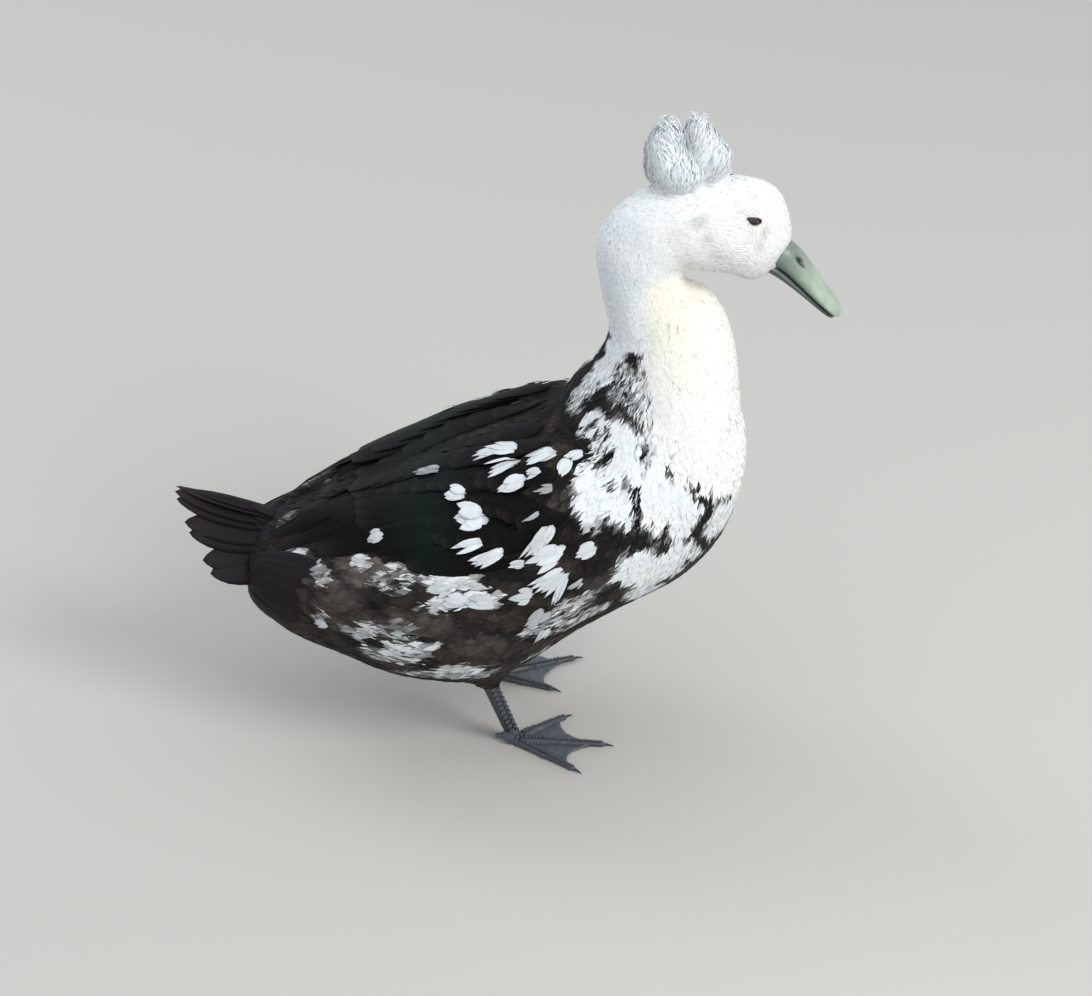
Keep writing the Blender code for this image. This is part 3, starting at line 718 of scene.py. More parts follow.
# %% Colour the skin
LID_SKIN = np.array((0.060, 0.042, 0.037))
LID_RED = np.array((0.20, 0.095, 0.070))
GROUND_SHADE = 0.9          # the ground of the coat is a little darker than its feathers
skin_places = vertex_places(skin.data)
skin_colours = plumage(skin_places) * GROUND_SHADE
for side in SIDES:
    along, up, out, near = seen_by_eye(skin_places, side)
    bare_lid = step(1.55, 1.28, slit_share(along, up)) * (near & (out > 0))
    red = step(0.0, -2.0 * MM, up) * step(-1 * MM, 2 * MM, along)
    skin_colours = mix(skin_colours, mix(LID_SKIN, LID_RED, red), bare_lid)
colour_mesh(skin.data, skin_colours)
finish_piece(skin, skin_finish, "white_plumage", "head", "neck", "trunk", "wing_right", "wing_left")

# %% [markdown]
# ## One feather
# A feather is a thin leaf with a slight crown. It could be a flat sheet, but a sheet has no
# thickness and can't be printed. Each pattern below starts as a sphere whose rings become the
# cross-rows of the leaf, so it is closed from the start. The patterns differ in how many rows
# they have, how wide each row is and how the tip ends: the coat feathers end in a few soft
# teeth, the flight feathers in a clean rounded point.

# %% Patterns of feathers
Vane = namedtuple("Vane", "stops row column back across rise faces")
TIP_THIN = 0.85             # share of its thickness that a feather loses towards the tip


def make_vane(stops, widths, sides, teeth=0.0, round_tip=0.10):
    """A closed leaf. Stops are the places of its rows along the shaft, from 0 to 1.

    For each point it gives the row, the barb it lies on, how far it is drawn back from its row,
    and its share of the half width and of the half thickness."""
    last = len(stops) - 1
    bm = bmesh.new()
    bmesh.ops.create_uvsphere(bm, u_segments=sides, v_segments=last, radius=1.0)
    bmesh.ops.triangulate(bm, faces=bm.faces[:])
    row, columns, back, across, rise = [], [], [], [], []
    for v in bm.verts:
        ring = last - round(math.acos(max(-1.0, min(1.0, v.co.z))) / math.pi * last)
        around = math.atan2(v.co.y, v.co.x)
        pole = math.hypot(v.co.x, v.co.y) < 0.001
        c = 0.0 if pole else math.cos(around)
        near_tip = min(1.0, max(0.0, ring - last + 2))
        column = sides // 4 if pole else round(abs(around) * sides / (2 * math.pi))
        notch = 0.0 if pole else teeth * (column % 2) * near_tip
        row.append(ring)
        columns.append(column)
        back.append(-round_tip * c * c * near_tip - notch)
        across.append(c * widths[ring])
        rise.append(0.0 if pole else math.sin(around) * (1.0 - TIP_THIN * stops[ring]))
    faces = np.array([[v.index for v in f.verts] for f in bm.faces])
    bm.free()
    return Vane(np.array(stops), *(np.array(item) for item in (row, columns, back, across, rise)),
                faces)


TINY = make_vane((0, 0.25, 0.6, 0.86, 1.0), (0, 0.65, 1.0, 0.7, 0), 6, 0.05)
SOFT = make_vane((0, 0.2, 0.55, 0.85, 1.0), (0, 0.6, 1.0, 0.75, 0), 8, 0.07)
BODY = make_vane((0, 0.15, 0.42, 0.68, 0.88, 1.0), (0, 0.5, 0.95, 1.0, 0.66, 0), 8, 0.08, 0.10)
LONG = make_vane((0, 0.06, 0.18, 0.34, 0.50, 0.66, 0.78, 0.87, 0.93, 0.97, 0.99, 1.0),
                 (0, 0.25, 0.62, 0.86, 0.97, 1.0, 0.97, 0.86, 0.70, 0.48, 0.28, 0), 10, 0.0, 0.02)
print("triangles of a tiny, soft, body and long feather:",
      [len(vane.faces) for vane in (TINY, SOFT, BODY, LONG)])


# %% [markdown]
# ## Following the body
# A feather lies on what is under it. A Shrinkwrap modifier could press a mesh onto the body, but
# it squashes thin leaves. Here each feather is laid row by row instead: from its root it goes a
# step ahead, looks for the nearest place on the skin, and turns with the surface.

# %% Lay feathers along the body
Ground = namedtuple("Ground", "tree normals")


def ground_of(mesh):
    """A search tree over a mesh, and one smoothed normal for each of its faces."""
    around = vertex_normals(mesh)
    normals = [Vector(around[list(p.vertices)].mean(0)).normalized() for p in mesh.polygons]
    return Ground(tree_of(mesh), normals)


def march(roots, ways, lengths, stops, ground, stiff=0.0):
    """Follow the surface from each root. Gives places and normals for every row.

    Stiff from 0 to 1 lets a feather spring free where the surface falls away under it."""
    count = len(roots)
    places = np.empty((count, len(stops), 3))
    normals = np.empty((count, len(stops), 3))
    for i in range(count):
        spot = Vector(roots[i])
        way = Vector(ways[i])
        previous = 0.0
        normal = None
        for k, stop in enumerate(stops):
            ahead = spot + way * (stop - previous) * lengths[i]
            hit, _, face, _ = ground.tree.find_nearest(ahead)
            n = ground.normals[face]
            if normal is None:
                spot, normal = hit, n
            else:
                spot = hit if (ahead - hit).dot(n) < 0 else hit.lerp(ahead, stiff)
                normal = normal.lerp(n, 1.0 - 0.7 * stiff).normalized()
            way = (way - normal * way.dot(normal)).normalized()
            previous = stop
            places[i, k] = spot
            normals[i, k] = normal
    return places, normals


skin_ground = ground_of(skin.data)
print(len(skin_ground.normals), "faces of ground")

# %% [markdown]
# ## Two maps
# Each feather has two UV maps. One holds real distances on the feather, for the barbs. The other
# is for the bake, where a feather needs only a tiny patch. Patches could be packed in rows, but
# then neighbours on the bird lie far apart. So the body is unrolled round its spine, and each
# feather gets its patch at the place of its root.

# %% Unroll the body
# The spine holds places along the middle of the body from the bill to the tail: x and z.
SPINE = np.array([(178, 362), (140, 384), (104, 374), (97, 340), (102, 300), (96, 255),
                  (62, 190), (0, 148), (-80, 134), (-176, 136)]) * MM
MAP_EDGE = 0.03             # free border round the unwrap
PATCH = 0.003               # size of one feather's patch on it


def unrolled(points):
    """Place on an unwrap of the body: angle round the spine, and share of its length."""
    steps = np.diff(SPINE, axis=0)
    sizes = np.linalg.norm(steps, axis=1)
    begins = np.concatenate([[0], np.cumsum(sizes)])
    flat = points[:, (0, 2)]
    best = np.full(len(points), 1e9)
    along = np.zeros(len(points))
    above = np.zeros(len(points))
    for start, leg, size, begin in zip(SPINE, steps, sizes, begins):
        t = np.clip((flat - start) @ leg / size ** 2, 0, 1)
        off = flat - start - t[:, None] * leg
        apart = np.linalg.norm(off, axis=1)
        closer = apart < best
        best[closer] = apart[closer]
        along[closer] = (begin + t * size)[closer]
        above[closer] = (off @ np.array((leg[1], -leg[0])) / size)[closer]
    around = np.arctan2(points[:, 1], above) / (2 * math.pi) + 0.5
    share = along / begins[-1]
    return MAP_EDGE + (1 - 2 * MAP_EDGE) * np.stack([around, share], 1)


# %% [markdown]
# ## Joining feathers
# A coat of thousands of objects would be slow, and instances can't follow the body. So all the
# feathers of a piece become one mesh. Numpy moves the points of the pattern onto the places that
# were found for its rows: sideways by the width, up by the crown and the thickness, and back at
# the rounded tip.

# %% Join feathers into one mesh
def clothe(name, vane, places, normals, widths, colours, crown, thick, shaft=0.0, calm=0.0):
    """Join feathers into one mesh. Colours hold one colour for each point of each feather.

    Crown is the arch across a feather as a share of its width. Calm from 0 to 1 turns the shading
    of each feather towards that of the body under it, as the loose barbs of soft plumage do."""
    # The three directions at every row, and the points of all feathers.
    count = len(places)
    ahead = unit((np.roll(places, -1, 1) - np.roll(places, 1, 1)).reshape(-1, 3))
    ahead = ahead.reshape(places.shape)
    ahead[:, 0] = unit(places[:, 1] - places[:, 0])
    ahead[:, -1] = unit(places[:, -1] - places[:, -2])
    sideways = unit(np.cross(normals, ahead).reshape(-1, 3)).reshape(places.shape)
    upward = np.cross(ahead, sideways)
    lengths = np.linalg.norm(np.diff(places, axis=1), axis=2).sum(1)
    c = vane.across[None, :, None]
    half = widths[:, None, None] / 2
    middle = (np.abs(vane.across) < 0.05) & (vane.rise > 0)
    body = thick * vane.rise / 2 + shaft * middle
    height = crown * half * 2 * (1 - c ** 2) + body[None, :, None]
    co = (places[:, vane.row] + sideways[:, vane.row] * c * half + upward[:, vane.row] * height
          + ahead[:, vane.row] * vane.back[None, :, None] * lengths[:, None, None])
    # The mesh, with its colours and both maps.
    points = len(vane.row)
    faces = (vane.faces[None] + (np.arange(count) * points)[:, None, None]).reshape(-1, 3)
    mesh = bpy.data.meshes.new(name)
    mesh.vertices.add(count * points)
    mesh.vertices.foreach_set("co", co.reshape(-1).astype(np.float32))
    mesh.loops.add(faces.size)
    mesh.loops.foreach_set("vertex_index", faces.reshape(-1).astype(np.int32))
    mesh.polygons.add(len(faces))
    mesh.polygons.foreach_set("loop_start", (np.arange(len(faces)) * 3).astype(np.int32))
    colour_mesh(mesh, colours.reshape(-1, 3))
    along = vane.stops[vane.row] + vane.back
    home = unrolled(places[:, 0])
    local = np.stack([vane.across, along * 2 - 1], 1) * PATCH / 2
    bake = (home[:, None] + local[None]).reshape(-1, 2)
    real = np.stack([vane.across[None] * widths[:, None] / 2 / MM,
                     along[None] * lengths[:, None] / MM], 2).reshape(-1, 2)
    for title, values in (("OFBake", bake), ("vane", real)):
        layer = mesh.uv_layers.new(name=title)
        layer.data.foreach_set("uv", values[faces.reshape(-1)].reshape(-1).astype(np.float32))
    mesh.update(calc_edges=True)
    mesh.shade_smooth()
    mesh.validate()
    # The shading. Faces that look down keep looking down.
    if calm:
        corners = faces.reshape(-1)
        facing = np.empty(faces.size)
        mesh.polygon_normals.foreach_get("vector", facing)
        above = upward[:, vane.row].reshape(-1, 3)[corners]
        side = np.sign((np.repeat(facing.reshape(-1, 3), 3, axis=0) * above).sum(1))[:, None]
        turned = vertex_normals(mesh)[corners] * (1 - calm) + above * side * calm
        mesh.normals_split_custom_set(unit(turned))
    return link_new(name, mesh)


# %% [markdown]
# ## The contour coat
# The small feathers of head, neck and body are sown over the skin. Hair curves could do this,
# but they aren't solid. A plain grid would show rows. So places are drawn at random and kept
# only when no kept neighbour is closer than the spacing, which gives the even, slightly irregular
# cover of a real bird. Each feather follows the skin and rises from root to tip, so that the next
# one back is tucked beneath it like a roof tile.

# %% Sow the roots
SPACING_CLASSES = np.array((0.95, 1.1, 1.3, 1.55, 1.85, 2.2, 2.6, 3.1, 3.7, 4.3)) * MM
SPACING_START = 0.50 * MM
SPACING_SHARE = 0.16        # growth of the spacing with the feather's length
TRIES = 4.0                 # places drawn for each one that has room


def wanted_spacing(length):
    return np.clip(SPACING_START + SPACING_SHARE * length, SPACING_CLASSES[0], SPACING_CLASSES[-1])


def sow(mesh, seed):
    """Even random places on the triangles of a mesh."""
    draw = np.random.default_rng(seed)
    mesh.calc_loop_triangles()
    corners = np.empty(len(mesh.loop_triangles) * 3, np.int32)
    mesh.loop_triangles.foreach_get("vertices", corners)
    places = vertex_places(mesh)[corners.reshape(-1, 3)]
    normals = np.cross(places[:, 1] - places[:, 0], places[:, 2] - places[:, 0])
    areas = np.linalg.norm(normals, axis=1) / 2
    centre = places.mean(1)
    _, length, _ = coat_at(centre)
    spacing = wanted_spacing(length)
    wanted = areas / spacing ** 2 * TRIES
    counts = np.floor(wanted + draw.random(len(wanted))).astype(int)
    pick = np.repeat(np.arange(len(counts)), counts)
    draw.shuffle(pick)
    a, b = draw.random((2, len(pick), 1))
    flip = (a + b) > 1
    a, b = np.where(flip, 1 - a, a), np.where(flip, 1 - b, b)
    tri = places[pick]
    spots = tri[:, 0] + a * (tri[:, 1] - tri[:, 0]) + b * (tri[:, 2] - tri[:, 0])
    group = np.minimum(np.searchsorted(SPACING_CLASSES, spacing[pick]), len(SPACING_CLASSES) - 1)
    size = SPACING_CLASSES[group]
    cells = np.floor(spots / size[:, None]).astype(int)
    kept, seen = [], {}
    around = [(i, j, k) for i in (-1, 0, 1) for j in (-1, 0, 1) for k in (-1, 0, 1)]
    for n, (x, y, z) in enumerate(spots):
        cx, cy, cz = cells[n]
        g = group[n]
        limit = size[n] ** 2
        crowded = any((x - px) ** 2 + (y - py) ** 2 + (z - pz) ** 2 < limit
                      for i, j, k in around
                      for px, py, pz in seen.get((g, cx + i, cy + j, cz + k), ()))
        if not crowded:
            seen.setdefault((g, cx, cy, cz), []).append((x, y, z))
            kept.append(n)
    kept = np.array(kept)
    return spots[kept], unit(normals[pick[kept]])


roots, root_normals = sow(skin.data, 3)
print(len(roots), "roots sown")

# %% [markdown]
# ## Where no coat grows
# The lids are bare, and a real wing hides the coat under it. Feathers could be sown there too
# and stay unseen, but that is a waste of triangles. Roots on the knob are kept apart for the
# crest, whose plumes are longer.

# %% Leave bare what carries no coat
CREST_GROUND = 411 * MM
CREST_SKIRT = 9 * MM        # plumes start closer together on the lowest part of the knob
CREST_MARGIN = 1.08         # crest roots and coat roots overlap a little round the knob
COAT_MARGIN = 1.04
WING_X = (57.0, -155.0)     # from the shoulder to the wing tip
WING_INSIDE = (0.14, 0.80)  # the part of that length where the coat is left out
WING_SHARES = (0.0, 0.10, 0.25, 0.45, 0.62, 0.82, 1.0)
WING_LOW = (42.0, 27.0, 20.0, 24.0, 38.0, 60.0, 74.0)       # degrees above the horizon
WING_HIGH = (52.0, 68.0, 79.0, 82.0, 83.0, 83.0, 79.0)
WING_OVERLAP = 9.0          # degrees that the coat reaches under the wing
AXIS = ((-170, 131), (-80, 132), (-25, 137), (15, 149), (55, 168), (95, 186))   # x and height
BARE_SHARE = 1.42           # the lids are bare to this share of the slit


def axis_height(x):
    """Height of the middle of the body at x, in millimetres."""
    return np.interp(x, *np.transpose(AXIS))


def under_wing(points):
    """True well inside the outline of the folded wing, whose rows hide the coat."""
    x, y, z = (points / MM).T
    share = (x - WING_X[0]) / (WING_X[1] - WING_X[0])
    up = np.degrees(np.arctan2(z - axis_height(x), np.abs(y)))
    low = np.interp(share, WING_SHARES, WING_LOW) + WING_OVERLAP
    high = np.interp(share, WING_SHARES, WING_HIGH)
    return (share > WING_INSIDE[0]) & (share < WING_INSIDE[1]) & (up > low) & (up < high)


def on_knob(points, margin, lowest):
    """True on and round the knob that carries the crest, down to the lowest height."""
    found = np.zeros(len(points), bool)
    for puff in PUFFS:
        away = (points - np.array(puff.middle)) / (np.array(puff.half) * KNOB_SHARE)
        found |= (np.linalg.norm(away, axis=1) < margin) & (points[:, 2] > lowest)
    return found


def bare(points):
    """True on the lids and under the wings."""
    hidden = under_wing(points)
    for side in SIDES:
        along, up, out, near = seen_by_eye(points, side)
        hidden |= (slit_share(along, up) < BARE_SHARE) & (out > -1 * MM) & near
    return hidden


knob = on_knob(roots, CREST_MARGIN, CREST_GROUND)
crest_roots, crest_normals = roots[knob], root_normals[knob]
print(len(crest_roots), "roots on the knob")
keep = ~bare(roots) & ~on_knob(roots, COAT_MARGIN, CREST_GROUND)
roots, root_normals = roots[keep], root_normals[keep]
print(len(roots), "roots kept")

# %% [markdown]
# ## Feathers round the eyes
# The lie table is too coarse for the ring round an eye. More rows could say it, but two rules are
# shorter: close to an eye feathers point away from it, and none may reach over the lids.

# %% Ways and lengths near the eyes
EYE_PULL = 0.55


def eye_ways(points, ways):
    """Close to an eye the feathers turn to point away from it."""
    for side in SIDES:
        away = points - np.array(EYES[side])
        pull = EYE_PULL * step(LID_REACH, 5 * MM, np.linalg.norm(away, axis=1))
        ways = mix(ways, unit(away), pull)
    return ways


def short_of_lids(tips):
    """Shares that shorten the feathers whose tips would reach over the lids."""
    share = np.ones(len(tips))
    for side in SIDES:
        along, up, out, near = seen_by_eye(tips, side)
        near &= out > -1 * MM
        share[near] = 0.4 + 0.6 * step(0.95, 1.7, slit_share(along, up)[near])
    return share


# %% [markdown]
# ## Colour of one feather
# A white mark on a bird ends in ragged barbs, because each feather keeps much of its own colour.
# One colour for a feather looks like paint by numbers, and the colour of each place alone looks
# sprayed on. So the whiteness of a feather is partly that of its tip and partly that of each
# place, and every barb strays a little. Dark feathers get a worn, browner fringe.
# Each feather is also painted darker towards its root, as the shade of the feathers above it.

# %% Height and colour along a feather
DARK_VARY, DARK_STREAK = 0.28, 0.10
PALE_VARY, PALE_STREAK = 0.025, 0.015
LEAST, MOST_LIGHT = 0.002, 0.93     # no plumage is darker or lighter than this


def lift(stops, low):
    """Height in the coat along a feather, from low at the root to 1 at the tip."""
    return low + (1.0 - low) * (1.0 - (1.0 - stops) ** 1.3)


def feather_colours(vane, places, draw, own_share, vary):
    """Colours for all points: partly of the feather as a whole, partly of each place on it."""
    count, rows, _ = places.shape
    flat = places.reshape(-1, 3)
    streaks = draw.normal(size=(count, vane.column.max() + 1))[:, vane.column]
    feather = draw.uniform(-1, 1, (count, 1))
    white = whiteness(flat).reshape(count, rows)
    white = own_share * white[:, -2:-1] + (1 - own_share) * white
    white = white[:, vane.row]
    white = np.clip(white + white * (1 - white) * (0.6 * streaks + vary * feather), 0, 1)
    white = step(0.06, 0.94, white)[:, :, None]
    dark, pale = (part.reshape(count, rows, 3)[:, vane.row] for part in palette(flat))
    dark = dark * (1 + DARK_VARY * feather + DARK_STREAK * streaks)[:, :, None]
    pale = pale * (1 + PALE_VARY * feather + PALE_STREAK * streaks)[:, :, None]
    # Painted shade: each feather is darker towards its root, where the feathers above shade it.
    rise = step(0.2, 0.75, vane.stops)[vane.row][None, :, None]
    fringe = step(0.80, 1.0, vane.stops)[vane.row][None, :, None]
    fringe = fringe * draw.random((count, 1, 1)) ** 2
    dark = dark * (0.6 + 0.4 * rise) + (BROWN * 1.5 - dark) * fringe * 0.4
    pale = pale * (0.95 + 0.05 * rise)
    return np.clip(dark + (pale - dark) * white, LEAST, MOST_LIGHT)


# %% [markdown]
# ## Laying the coat
# Head, neck and body carry feathers of three patterns, chosen by how long the lie table says they
# are. One mesh for all would be too heavy to handle, so each layer is cut into pieces from back
# to front. In a layer, shortest and longest are in millimetres, stretch and width are shares of
# the feather's length, swing is in degrees, and low is the height of the root in the coat. Calm
# softens the shading, own is the share of its own colour that a feather keeps, and vary is how
# much feathers differ in whiteness.

# %% Feathers of the contour coat
Layer = namedtuple("Layer", "label vane shortest longest stretch width crown thick swing low "
                            "calm own vary slot")
LAYERS = [Layer(*row) for row in (
    ("head", TINY, 0, 4.6, 1.7, 0.32, 0.03, 0.09, 9, 0.10, 0.75, 0.35, 1.0, "white_plumage"),
    ("neck", SOFT, 4.6, 11.0, 1.45, 0.34, 0.03, 0.11, 9, 0.10, 0.75, 0.35, 1.0, "white_plumage"),
    ("body", BODY, 11.0, 99.0, 1.25, 0.33, 0.04, 0.18, 8, 0.30, 0.65, 0.75, 1.0, "dark_plumage"),
)]
PIECE_LIMIT = 190000        # triangles in one piece of coat
FIRST_SEED = 100


def coat_piece(name, layer, roots, normals, seed):
    """One piece of coat: feathers from the given roots, laid, lifted and coloured."""
    draw = np.random.default_rng(seed)
    count, vane = len(roots), layer.vane
    ways, lengths, depths = coat_at(roots)
    ways = flattened(eye_ways(roots, ways), normals)
    turn = np.radians(draw.normal(size=count) * layer.swing)[:, None]
    ways = ways * np.cos(turn) + np.cross(normals, ways) * np.sin(turn)
    lengths = lengths * layer.stretch * draw.uniform(0.8, 1.2, count)
    for _ in range(2):
        lengths *= short_of_lids(roots + ways * lengths[:, None])
    places, ups = march(roots, ways, lengths, vane.stops, skin_ground)
    colours = feather_colours(vane, places, draw, layer.own, layer.vary)
    loft = depths * draw.uniform(0.94, 1.02, count)
    places = places + ups * (loft[:, None] * lift(vane.stops, layer.low)[None])[:, :, None]
    widths = lengths * layer.width * draw.uniform(0.85, 1.15, count)
    obj = clothe(name, vane, places, ups, widths, colours, layer.crown, layer.thick * MM, 0.0,
                 layer.calm)
    finish_piece(obj, down_finish, layer.slot)


_, root_lengths, _ = coat_at(roots)
for layer in LAYERS:
    fits = (root_lengths >= layer.shortest * MM) & (root_lengths < layer.longest * MM)
    chosen = np.flatnonzero(fits)
    chosen = chosen[np.argsort(roots[chosen, 0], kind="stable")]
    pieces = max(1, math.ceil(len(chosen) / (PIECE_LIMIT // len(layer.vane.faces))))
    print(layer.label, len(chosen), "feathers")
    for k, part in enumerate(np.array_split(chosen, pieces)):
        name = f"coat_{layer.label}_{k + 1}"
        coat_piece(name, layer, roots[part], root_normals[part], FIRST_SEED + k)

# %% [markdown]
# ## Loose barbs
# On a real bird the edge of a white mark is soft, because white barbs fall over black ones. Finer
# feathers everywhere would show it at a great cost. Instead a last, thin layer of slivers lies on
# the larger feathers. Each one keeps one colour, and most are sown where the whiteness is mixed.

# %% Sow the loose barbs
WISP = make_vane((0, 0.35, 0.75, 1.0), (0, 0.8, 1.0, 0), 4)
BARBS = 12000
BARB_RISE = 0.1 * MM
BARB_LAYER = Layer("barbs", WISP, 6.5, 99.0, 0.95, 0.10, 0.02, 0.12, 13, 0.85, 0.85, 1.0, 2.6,
                   "dark_plumage")
loose = np.flatnonzero(root_lengths > BARB_LAYER.shortest * MM)
mixed = whiteness(roots[loose])
mixed = 1.0 + 16.0 * mixed * (1.0 - mixed)
loose = np.random.default_rng(5).choice(loose, BARBS, p=mixed / mixed.sum())
barb_roots = roots[loose] + root_normals[loose] * BARB_RISE
coat_piece("coat_barbs", BARB_LAYER, barb_roots, root_normals[loose], 7)

# %% [markdown]
# ## The folded wings
# A folded wing is a stack of rows. The long primaries lie lowest and reach furthest back, the
# secondaries form the lower edge, the tertials cover them, and the coverts and scapulars lie
# like tiles over all their roots. Every feather could be placed by hand, but then a change of one
# moves all its neighbours. Here each row is a line of feathers from one place to another, and a
# place on the wing is given by its x and by its angle above the horizon on the body. Lengths,
# widths and lift are in millimetres, and stiff is how far a feather springs free of the body.

# %% Rows of the wing
Row = namedtuple("Row", "name count x_from x_to up_from up_to long_from long_to wide lean lift "
                        "stiff", defaults=(0.65,))
WING_ROWS = [Row(*row) for row in (
    ("primaries", 7, -62, -36, 66, 40, 122, 98, 16, 9, 1.3),
    ("secondaries", 10, -66, 18, 36, 19, 64, 66, 17, 6, 1.5),
    ("tertials", 6, -8, -34, 38, 70, 92, 74, 22, 9, 2.2),
    ("greater_coverts", 10, -26, 38, 40, 24, 44, 40, 16, 8, 2.6),
    ("median_coverts", 9, -2, 44, 52, 30, 34, 30, 15, 12, 3.0),
    ("low_scapulars", 8, -30, 34, 66, 50, 58, 44, 19, 12, 3.2),
    ("mid_scapulars", 8, -44, 34, 76, 64, 64, 44, 20, 13, 3.6),
    ("top_scapulars", 7, -52, 30, 85, 78, 52, 40, 20, 13, 3.5),
    ("tail_side_coverts", 8, -126, -122, -30, 24, 62, 58, 17, -7, 1.2, 0.8),
)]
CAST_FROM = 0.3             # rays towards the body start this far out


def between(first, last, share):
    """A value part of the way from first to last."""
    return first + (last - first) * share


def on_wing(x, up, sign):
    """The skin at x, at an angle above the horizon round the middle of the body."""
    middle = Vector((x * MM, 0.0, axis_height(x) * MM))
    up = math.radians(up)
    out = Vector((0.0, sign * math.cos(up), math.sin(up)))
    return skin_tree.ray_cast(middle + out * CAST_FROM, -out)[:2]


def wing_row(row, side):
    """Roots, ways and lengths of the feathers of one row, from its first place to its last."""
    sign = SIDES[side]
    draw = np.random.default_rng(len(row.name) + row.count)
    roots, ways, lengths = [], [], []
    for k in range(row.count):
        t = k / (row.count - 1)
        spot, normal = on_wing(between(row.x_from, row.x_to, t), between(row.up_from, row.up_to, t),
                               sign)
        roots.append(spot)
        ways.append(axis_at(normal, row.lean + draw.normal() * 1.5))
        lengths.append((between(row.long_from, row.long_to, t) + draw.normal()) * MM)
    return np.array(roots), np.array(ways), np.array(lengths)


# %% [markdown]
# ## Colour of the wings
# Wing feathers are almost black, with a green sheen on a patch of the wing and worn, brownish
# tips. The sheen could come from the shader, but it would then shift with the light. So it is a
# painted sheen: a colour along each feather keeps it where it belongs.

# %% Lay the wings
WING_BLACK = np.array((0.0055, 0.0050, 0.0056))
# The green is a painted sheen on a patch of the wing.
WING_SHEEN_GREEN = np.array((0.005, 0.015, 0.012))
SHEEN_X = -52 * MM          # middle of the green patch
SHEEN_REACH = 30 * MM
STACK = 0.9 * MM            # the last feather of a row lies this much above the first
CROWN = 0.04                # arch of a flight feather
SHAFT = 0.20 * MM           # height of the shaft over the vane


def make_wing(side):
    """The pieces of one wing, one for each row."""
    pieces = []
    for row in WING_ROWS:
        roots, ways, lengths = wing_row(row, side)
        places, ups = march(roots, ways, lengths, LONG.stops, skin_ground, row.stiff)
        stack = np.linspace(0.0, STACK, row.count)[:, None]
        rise = row.lift * MM * (0.35 + 0.65 * np.minimum(1.0, LONG.stops * 1.6))[None] + stack
        places = places + ups * rise[:, :, None]
        widths = np.full(row.count, row.wide * MM)
        base = TAIL_DARK if row.name.startswith("tail") else WING_BLACK
        # Painted sheen: feathers near the middle of the patch are tinted green.
        painted_sheen = 0.6 * step(SHEEN_REACH, 0.0, np.abs(places[:, :, 0] - SHEEN_X))
        worn = 0.25 * step(0.80, 1.0, LONG.stops)
        colours = between(base, WING_SHEEN_GREEN, painted_sheen[:, :, None])
        colours = between(colours, BROWN, worn[None, :, None])
        piece = clothe(f"{row.name}_{side}", LONG, places, ups, widths, colours[:, LONG.row],
                       CROWN, 0.45 * MM, SHAFT, 0.25)
        finish_piece(piece, vane_finish, "flight_feathers")
        pieces.append(piece)
    return pieces


bm = bmesh.new()
for side in SIDES:
    for piece in make_wing(side):
        bm.from_mesh(piece.data)
wing_tree = BVHTree.FromBMesh(bm)
bm.free()

# %% [markdown]
# ## Single white feathers
# On the shoulder and the wing the white is not a mass but single feathers: clean leaves of
# white on black. They could be marks in the colour of the coat, but the black feathers there are
# too large to draw such small shapes. So each one is planted by itself a little above the coat,
# as a fan of narrow blades.

# %% Plant the white leaves
LEAVES = [Mark(*row) for row in (
    (-8, 230, 12, 3.6, 62, 0.80), (1, 233, 13, 4.8, -20, 0.85), (0, 228, 13, 3.2, 42, 0.90),
    (27, 238, 11, 6.0, 50, 0.95), (41, 235, 9, 4.8, 80, 0.95), (22, 230, 6, 3.0, 40, 0.80),
    (8, 223, 11, 5.5, 32, 0.92), (-31, 213, 8, 5.0, -10, 0.95), (-22, 204, 12, 8.2, 3, 0.97),
    (-21, 190, 11, 3.8, 12, 0.95), (-9, 183, 14, 4.6, 24, 0.97), (11, 177, 6, 3.2, 5, 0.85),
    (24, 194, 15, 3.6, 50, 0.88), (31, 182, 15, 5.6, 22, 0.95), (32, 197, 8, 3.0, 70, 0.88),
    (33, 166, 16, 4.6, 30, 0.92), (39, 158, 14, 3.4, 64, 0.85), (57, 185, 9, 4.8, 17, 0.85),
    (14, 153, 10, 5.0, 4, 0.80), (-17, 161, 8, 2.4, 4, 0.70), (25, 134, 13, 5.0, 40, 0.55),
    (28, 117, 9, 3.2, 48, 0.85), (49, 240, 8, 3.6, 50, 0.85), (50, 160, 7, 2.0, 20, 0.55),
    (-83, 182, 6, 4.0, 30, 0.75), (-123, 117, 6, 3.2, 10, 0.70), (-30, 150, 12, 5.0, 10, 0.90),
    (-12, 149, 12, 4.6, -4, 0.90), (-42, 158, 10, 5.0, 20, 0.85), (-97, 166, 6, 4.4, 10, 0.80),
    (-48, 216, 9, 3.4, -20, 0.45), (21, 209, 7, 1.8, 30, 0.50), (29, 224, 7, 2.0, 20, 0.45),
)]
LEAF_LIFT = 0.5 * MM
LEAF_BLADES = 7             # narrow blades that make up one white feather
PLAIN_BACK = 45 * MM        # on the far side the middle of the back stays plain
OVER_WING = 14 * MM         # no wing feather stands higher over the skin
LEAF = make_vane((0, 0.12, 0.32, 0.55, 0.75, 0.90, 1.0), (0, 0.45, 0.85, 1.0, 0.80, 0.46, 0), 8,
                 0.03, 0.02)


def on_top(places, ups):
    """Lift feathers above the flight feathers where these cover the coat."""
    lifts = np.zeros(places.shape[:2])
    for i in np.ndindex(lifts.shape):
        up = Vector(ups[i])
        apart = wing_tree.ray_cast(Vector(places[i]) + up * OVER_WING, -up, OVER_WING)[3]
        if apart is not None:
            lifts[i] = OVER_WING - apart
    smooth = lifts.max(1)[:, None] * np.minimum(1.0, 0.4 + LEAF.stops * 2)
    return places + ups * smooth[:, :, None]


